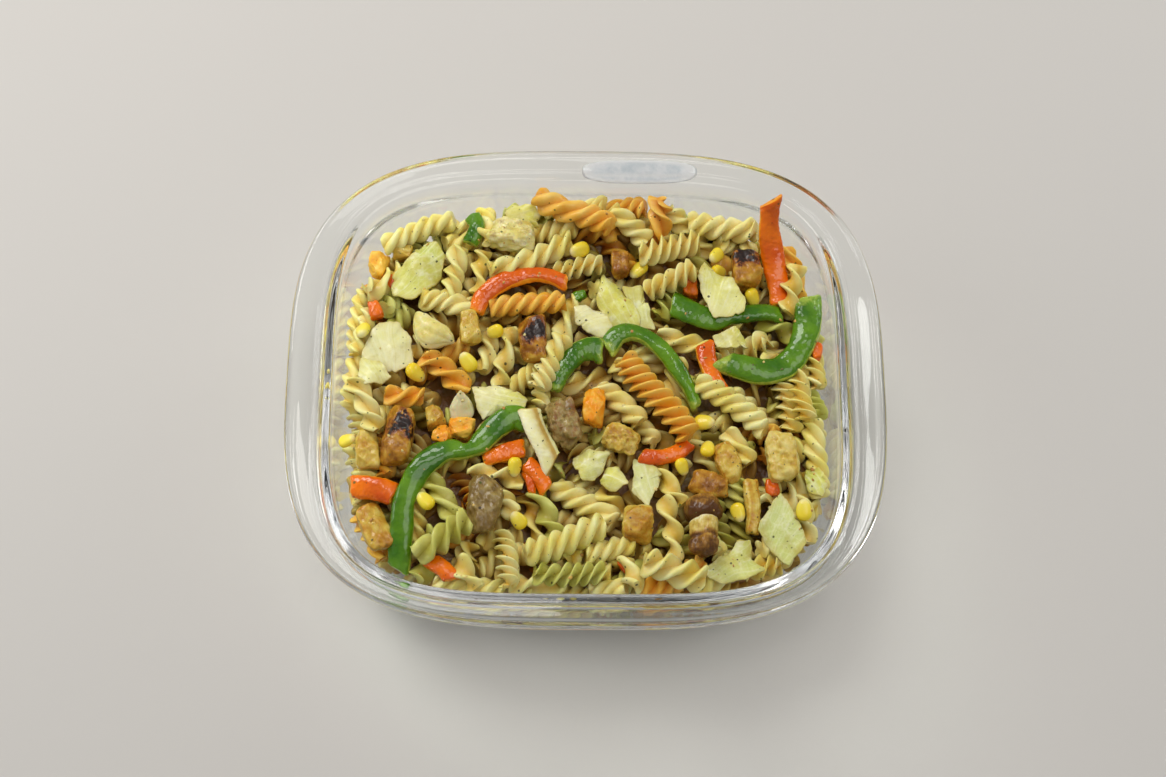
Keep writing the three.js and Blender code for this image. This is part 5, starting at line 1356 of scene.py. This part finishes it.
def make_mushroom(rows=84, around=64):
    """A small whole mushroom on its side, turned round an axis: a dark dome, a pale collar, the yellow stem
    and its swollen brown foot, each lobe pinched off from the next, and made uneven by sines of the angle
    and the way down."""
    at, length, radius, lift = (50, -63), 29, 8, 6.6
    turn, tip = math.radians(3), math.radians(-12)
    profile = through(MUSHROOM_SIDE, rows)
    angle = np.linspace(0, 2 * np.pi, around, endpoint=False)[None]
    out, down = np.abs(profile[:, 0, None]), profile[:, 1, None]
    swell = (1 + 0.06 * np.sin(2 * angle + 1) + 0.04 * np.sin(3 * angle + 7 * down)
             + 0.03 * np.sin(5 * angle - 16 * down) + 0.02 * np.sin(8 * angle + 30 * down)
             + 0.015 * np.sin(13 * angle - 24 * down))
    foot = 0.12 * np.clip((down - 0.7) / 0.1, 0, 1) * np.sin(4 * angle + 2)
    wide = out * (swell + foot) * radius
    local = np.stack([wide * np.cos(angle) + 0.8 * np.sin(4 * down),
                      (0.5 - down + 0 * angle) * length + 0.5 * np.sin(2 * angle) * out,
                      wide * np.sin(angle)], -1).reshape(-1, 3)
    ends = local.reshape(rows, around, 3)[[0, -1]].mean(1)
    local = np.vstack([local, ends])
    y, z = turned(local[:, 1], local[:, 2], tip)
    x, y = turned(local[:, 0], y, turn)
    points = np.stack([x + at[0], y + at[1], z + mound(at[0] * MM, at[1] * MM) / MM + lift], -1) * MM
    tone = np.interp(profile[:, 1], *zip(*MUSHROOM_TONES))
    return mesh_object("mushroom_whole_body", points, *tube_faces(1, rows, around),
                       tone=np.append(np.repeat(tone, around), (0.6, 0.8)), char=np.zeros(len(points)),
                       corner=np.full(len(points), 0.4), grain=local[:, 0])


mushroom_colours = ((0.0, (0.85, 0.8, 0.5)), (0.35, (0.62, 0.46, 0.1)), (0.7, (0.36, 0.17, 0.025)),
                    (1.0, (0.1, 0.035, 0.006)))
mushroom_skin = chunk_material("whole_mushroom", mushroom_colours, (0.2, 0.12, 0.04), 0.3, 0.0014, 420, 0.1)
serve(make_mushroom(), mushroom_skin, "mushroom_whole")

# Scraps. Small bits of red and green pepper, 4 to 9 mm across, that came loose in the pan. They lie at the
# sides and between the larger pieces.

# Middle x and y, three sizes, turn in degrees and height off the core, in mm.
RED_SCRAPS = [(103, 21, (5, 9, 6), 5, 2), (-94, 39, (6, 9, 6), 20, 3), (81, -44, (6, 8, 5), 10, 1),
              (44, 60, (5, 9, 5), -30, 0), (17, -79, (5, 7, 4), 35, 0), (-88, 55, (6, 7, 5), 40, 1),
              (-64, 86, (6, 5, 4), 0, 0)]
GREEN_SCRAPS = [(-3, 47, (7, 5, 4), 20, 1), (-78, -86, (9, 5, 4), -40, -3), (26, 3, (5, 4, 3), 60, 1)]


def make_scraps(name, scraps, rows=22, around=28):
    """Small shaved boxes, all in one mesh."""
    made = [chunk_points((x, y), size, turn, lift, 5, seed, cuts=3, lobes=0.05, peak=0, rows=rows,
                         around=around)
            for seed, (x, y, size, turn, lift) in enumerate(scraps, 300)]
    points = np.concatenate([points for points, box, shades in made])
    return mesh_object(name, points, *tube_faces(len(made), rows, around), flesh=np.zeros(len(points)))


serve(make_scraps("scraps_red", RED_SCRAPS), red_pepper, "pasta_heap")
serve(make_scraps("scraps_green", GREEN_SCRAPS), green_pepper, "pasta_heap")

# Flakes. Dried herbs, ground pepper and crumbs of vegetable, 0.3 to 2 mm across, that were strewn over the
# dish and lie on whatever is on top.

# Word, how many, least and most size in mm, flatness, and the colours from tint 0 to 1.
FLAKES = (
    ("herbs", 220, (0.4, 1.2), 0.25, ((0.0, (0.1, 0.12, 0.02)), (0.6, (0.16, 0.14, 0.03)), (1.0,
     (0.03, 0.05, 0.01)))),
    ("pepper", 230, (0.3, 0.7), 0.7, ((0.0, (0.05, 0.03, 0.015)), (1.0, (0.12, 0.05, 0.02)))),
    ("crumbs", 110, (0.8, 2.0), 0.5, ((0.0, (0.8, 0.7, 0.3)), (0.5, (0.7, 0.45, 0.1)), (1.0,
     (0.45, 0.2, 0.04)))),
)


def on_top(objects, random, count):
    """Random places on the upper surfaces: the highest corner in each millimetre square, with its normal."""
    points = np.concatenate([rows_of(item.data.vertices, "co") for item in objects])
    normals = np.concatenate([rows_of(item.data.vertex_normals, "vector") for item in objects])
    square = np.round((points[:, :2] + 0.2) / MM).astype(int)
    order = np.lexsort((points[:, 2], square[:, 1], square[:, 0]))
    last = np.append(np.any(np.diff(square[order], axis=0) != 0, axis=1), True)
    highest = order[last]
    highest = highest[normals[highest, 2] > 0.3]
    picked = random.choice(highest, count, replace=False)
    return points[picked].astype(float), normals[picked].astype(float)


def make_flakes(name, spots, ways, sizes, flat, random):
    """Each flake is a ball of 5 rings of 8 points, flattened along the surface's normal and squeezed by
    random shares across, half sunk in what it lies on."""
    count, rows, around = len(spots), 5, 8
    ball = ball_ways(rows, around, 0.35)[None] * random.uniform(0.7, 1.25, (count, rows * around + 2, 1))
    squeeze = np.stack([random.uniform(0.5, 1.2, count), random.uniform(0.4, 1, count),
                        flat * random.uniform(0.8, 1.3, count)], -1)
    ball = ball * sizes[:, None, None] / 2 * squeeze[:, None]
    aside = np.cross(ways, random.normal(size=(count, 3)))
    aside /= np.linalg.norm(aside, axis=1)[:, None]
    frames = np.stack([aside, np.cross(ways, aside), ways], 1)
    points = np.einsum("pij,pjk->pik", ball, frames) + spots[:, None]
    tint = np.repeat(random.uniform(0, 1, count), rows * around + 2)
    return mesh_object(name, points.reshape(-1, 3), *tube_faces(count, rows, around), tint=tint)


def flake_material(name, *tints):
    """Dry bits whose colour goes by each one's tint."""
    material, shade, surface = new_material(name)
    shade.put(surface, Base_Color=shade.ramp(shade.attribute("tint"), *tints), Roughness=0.5)
    return material


tops = [item for item in bpy.context.scene.objects if item.type == "MESH"
        and item.name.endswith(("_top", "_middle", "_cut", "_leaf", "_piece", "_body", "sweetcorn"))
        and not item.name.startswith("pepper_red_upright")]
for word, count, sizes, flat, tints in FLAKES:
    spots, ways = on_top(tops, rng, count)
    made = make_flakes("loose_" + word, spots, ways, rng.uniform(*sizes, count) * MM, flat, rng)
    serve(made, flake_material("loose_" + word, *tints), "pasta_heap")

# The stage: a plain pale floor, soft light from a window side and from above, and the camera at the
# photograph's angle, 67 degrees down from 0.95 m.

# Name, place, aim, width in metres, power in watts and colour.
LIGHTS = (
    ("window", (-0.55, 0.75, 0.95), (0, 0, 0.05), 0.6, 7.8, (1, 0.99, 0.97)),
    ("ceiling", (0.35, -0.1, 1.25), (0, 0, 0.05), 0.8, 4.2, (1, 0.98, 0.95)),
    ("lamp", (-0.15, 0.35, 1.35), (0, 0, 0.05), 0.3, 1.2, (1, 0.98, 0.95)),
    ("right_panel", (0.75, 0.55, 0.35), (0.1, 0.05, 0.07), 0.35, 1.1, (0.95, 0.98, 1)),
    ("left_panel", (-0.8, 0.1, 0.4), (-0.1, 0, 0.07), 0.3, 0.9, (0.95, 0.98, 1)),
)


def add_light(name, at, aim, size, power, colour):
    """A round lamp that faces its aim."""
    lamp = bpy.data.lights.new(name, "AREA")
    lamp.shape, lamp.size, lamp.energy, lamp.color = "DISK", size, power, colour
    made = bpy.data.objects.new(name, lamp)
    made.location = at
    made.rotation_euler = (Vector(aim) - Vector(at)).to_track_quat("-Z", "Y").to_euler()
    bpy.context.scene.collection.objects.link(made)


def make_floor():
    """A flat square, 4 m on a side, whose edges are past the view."""
    half = 2.0
    mesh = bpy.data.meshes.new("floor")
    corners = [(-half, -half, 0), (half, -half, 0), (half, half, 0), (-half, half, 0)]
    mesh.from_pydata(corners, [], [(0, 1, 2, 3)])
    made = bpy.data.objects.new("floor", mesh)
    bpy.context.scene.collection.objects.link(made)
    material, shade, surface = new_material("floor_paper")
    shade.put(surface, Base_Color=(0.62, 0.59, 0.55, 1), Roughness=0.9)
    made.data.materials.append(material)
    made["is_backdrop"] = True


make_floor()
for light in LIGHTS:
    add_light(*light)
world = bpy.data.worlds.new("studio")
world.use_nodes = True
background = world.node_tree.nodes["Background"]
background.inputs["Color"].default_value = (0.95, 0.97, 1, 1)
background.inputs["Strength"].default_value = 0.3
scene = bpy.context.scene
scene.world = world
# With fewer bounces a black band shows round the glass.
scene.cycles.max_bounces = 32
scene.cycles.glossy_bounces = 32
scene.cycles.transmission_bounces = 32
scene.view_settings.view_transform = "Standard"

# The camera's angles and its distance from the middle of the rim, in metres.
ELEVATION, AZIMUTH, ROLL, DISTANCE = math.radians(67), math.radians(-2.33), math.radians(2.59), 0.95
# In pixels of the photograph: the focal length, its size and where the middle of the rim is. Sensor in mm.
FOCAL_PX, FRAME_PX, RIM_MIDDLE_PX = 2192, (1166, 777), (586.3, 377.4)
SENSOR = 36
sine, cosine = math.sin(ELEVATION), math.cos(ELEVATION)
level = Vector((math.cos(AZIMUTH), math.sin(AZIMUTH), 0))
rising = Vector((-math.sin(AZIMUTH) * sine, math.cos(AZIMUTH) * sine, cosine))
ahead = Vector((-math.sin(AZIMUTH) * cosine, math.cos(AZIMUTH) * cosine, -sine))
right = level * math.cos(ROLL) + rising * math.sin(ROLL)
upward = rising * math.cos(ROLL) - level * math.sin(ROLL)
camera_data = bpy.data.cameras.new("camera")
camera_data.sensor_width = SENSOR
camera_data.lens = SENSOR * FOCAL_PX / FRAME_PX[0]
camera_data.shift_x = (FRAME_PX[0] / 2 - RIM_MIDDLE_PX[0]) / FRAME_PX[0]
camera_data.shift_y = (RIM_MIDDLE_PX[1] - FRAME_PX[1] / 2) / FRAME_PX[0]
camera = bpy.data.objects.new("camera", camera_data)
scene.collection.objects.link(camera)
facing = Matrix((right, upward, -ahead)).transposed().to_4x4()
camera.matrix_world = Matrix.Translation(Vector((0, 0, HEIGHT)) - ahead * DISTANCE) @ facing
scene.camera = camera

sizes = {"cad": [[float(v) for v in corner] for corner in cad_box],
         "visual": [[float(v) for v in corner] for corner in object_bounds()]}
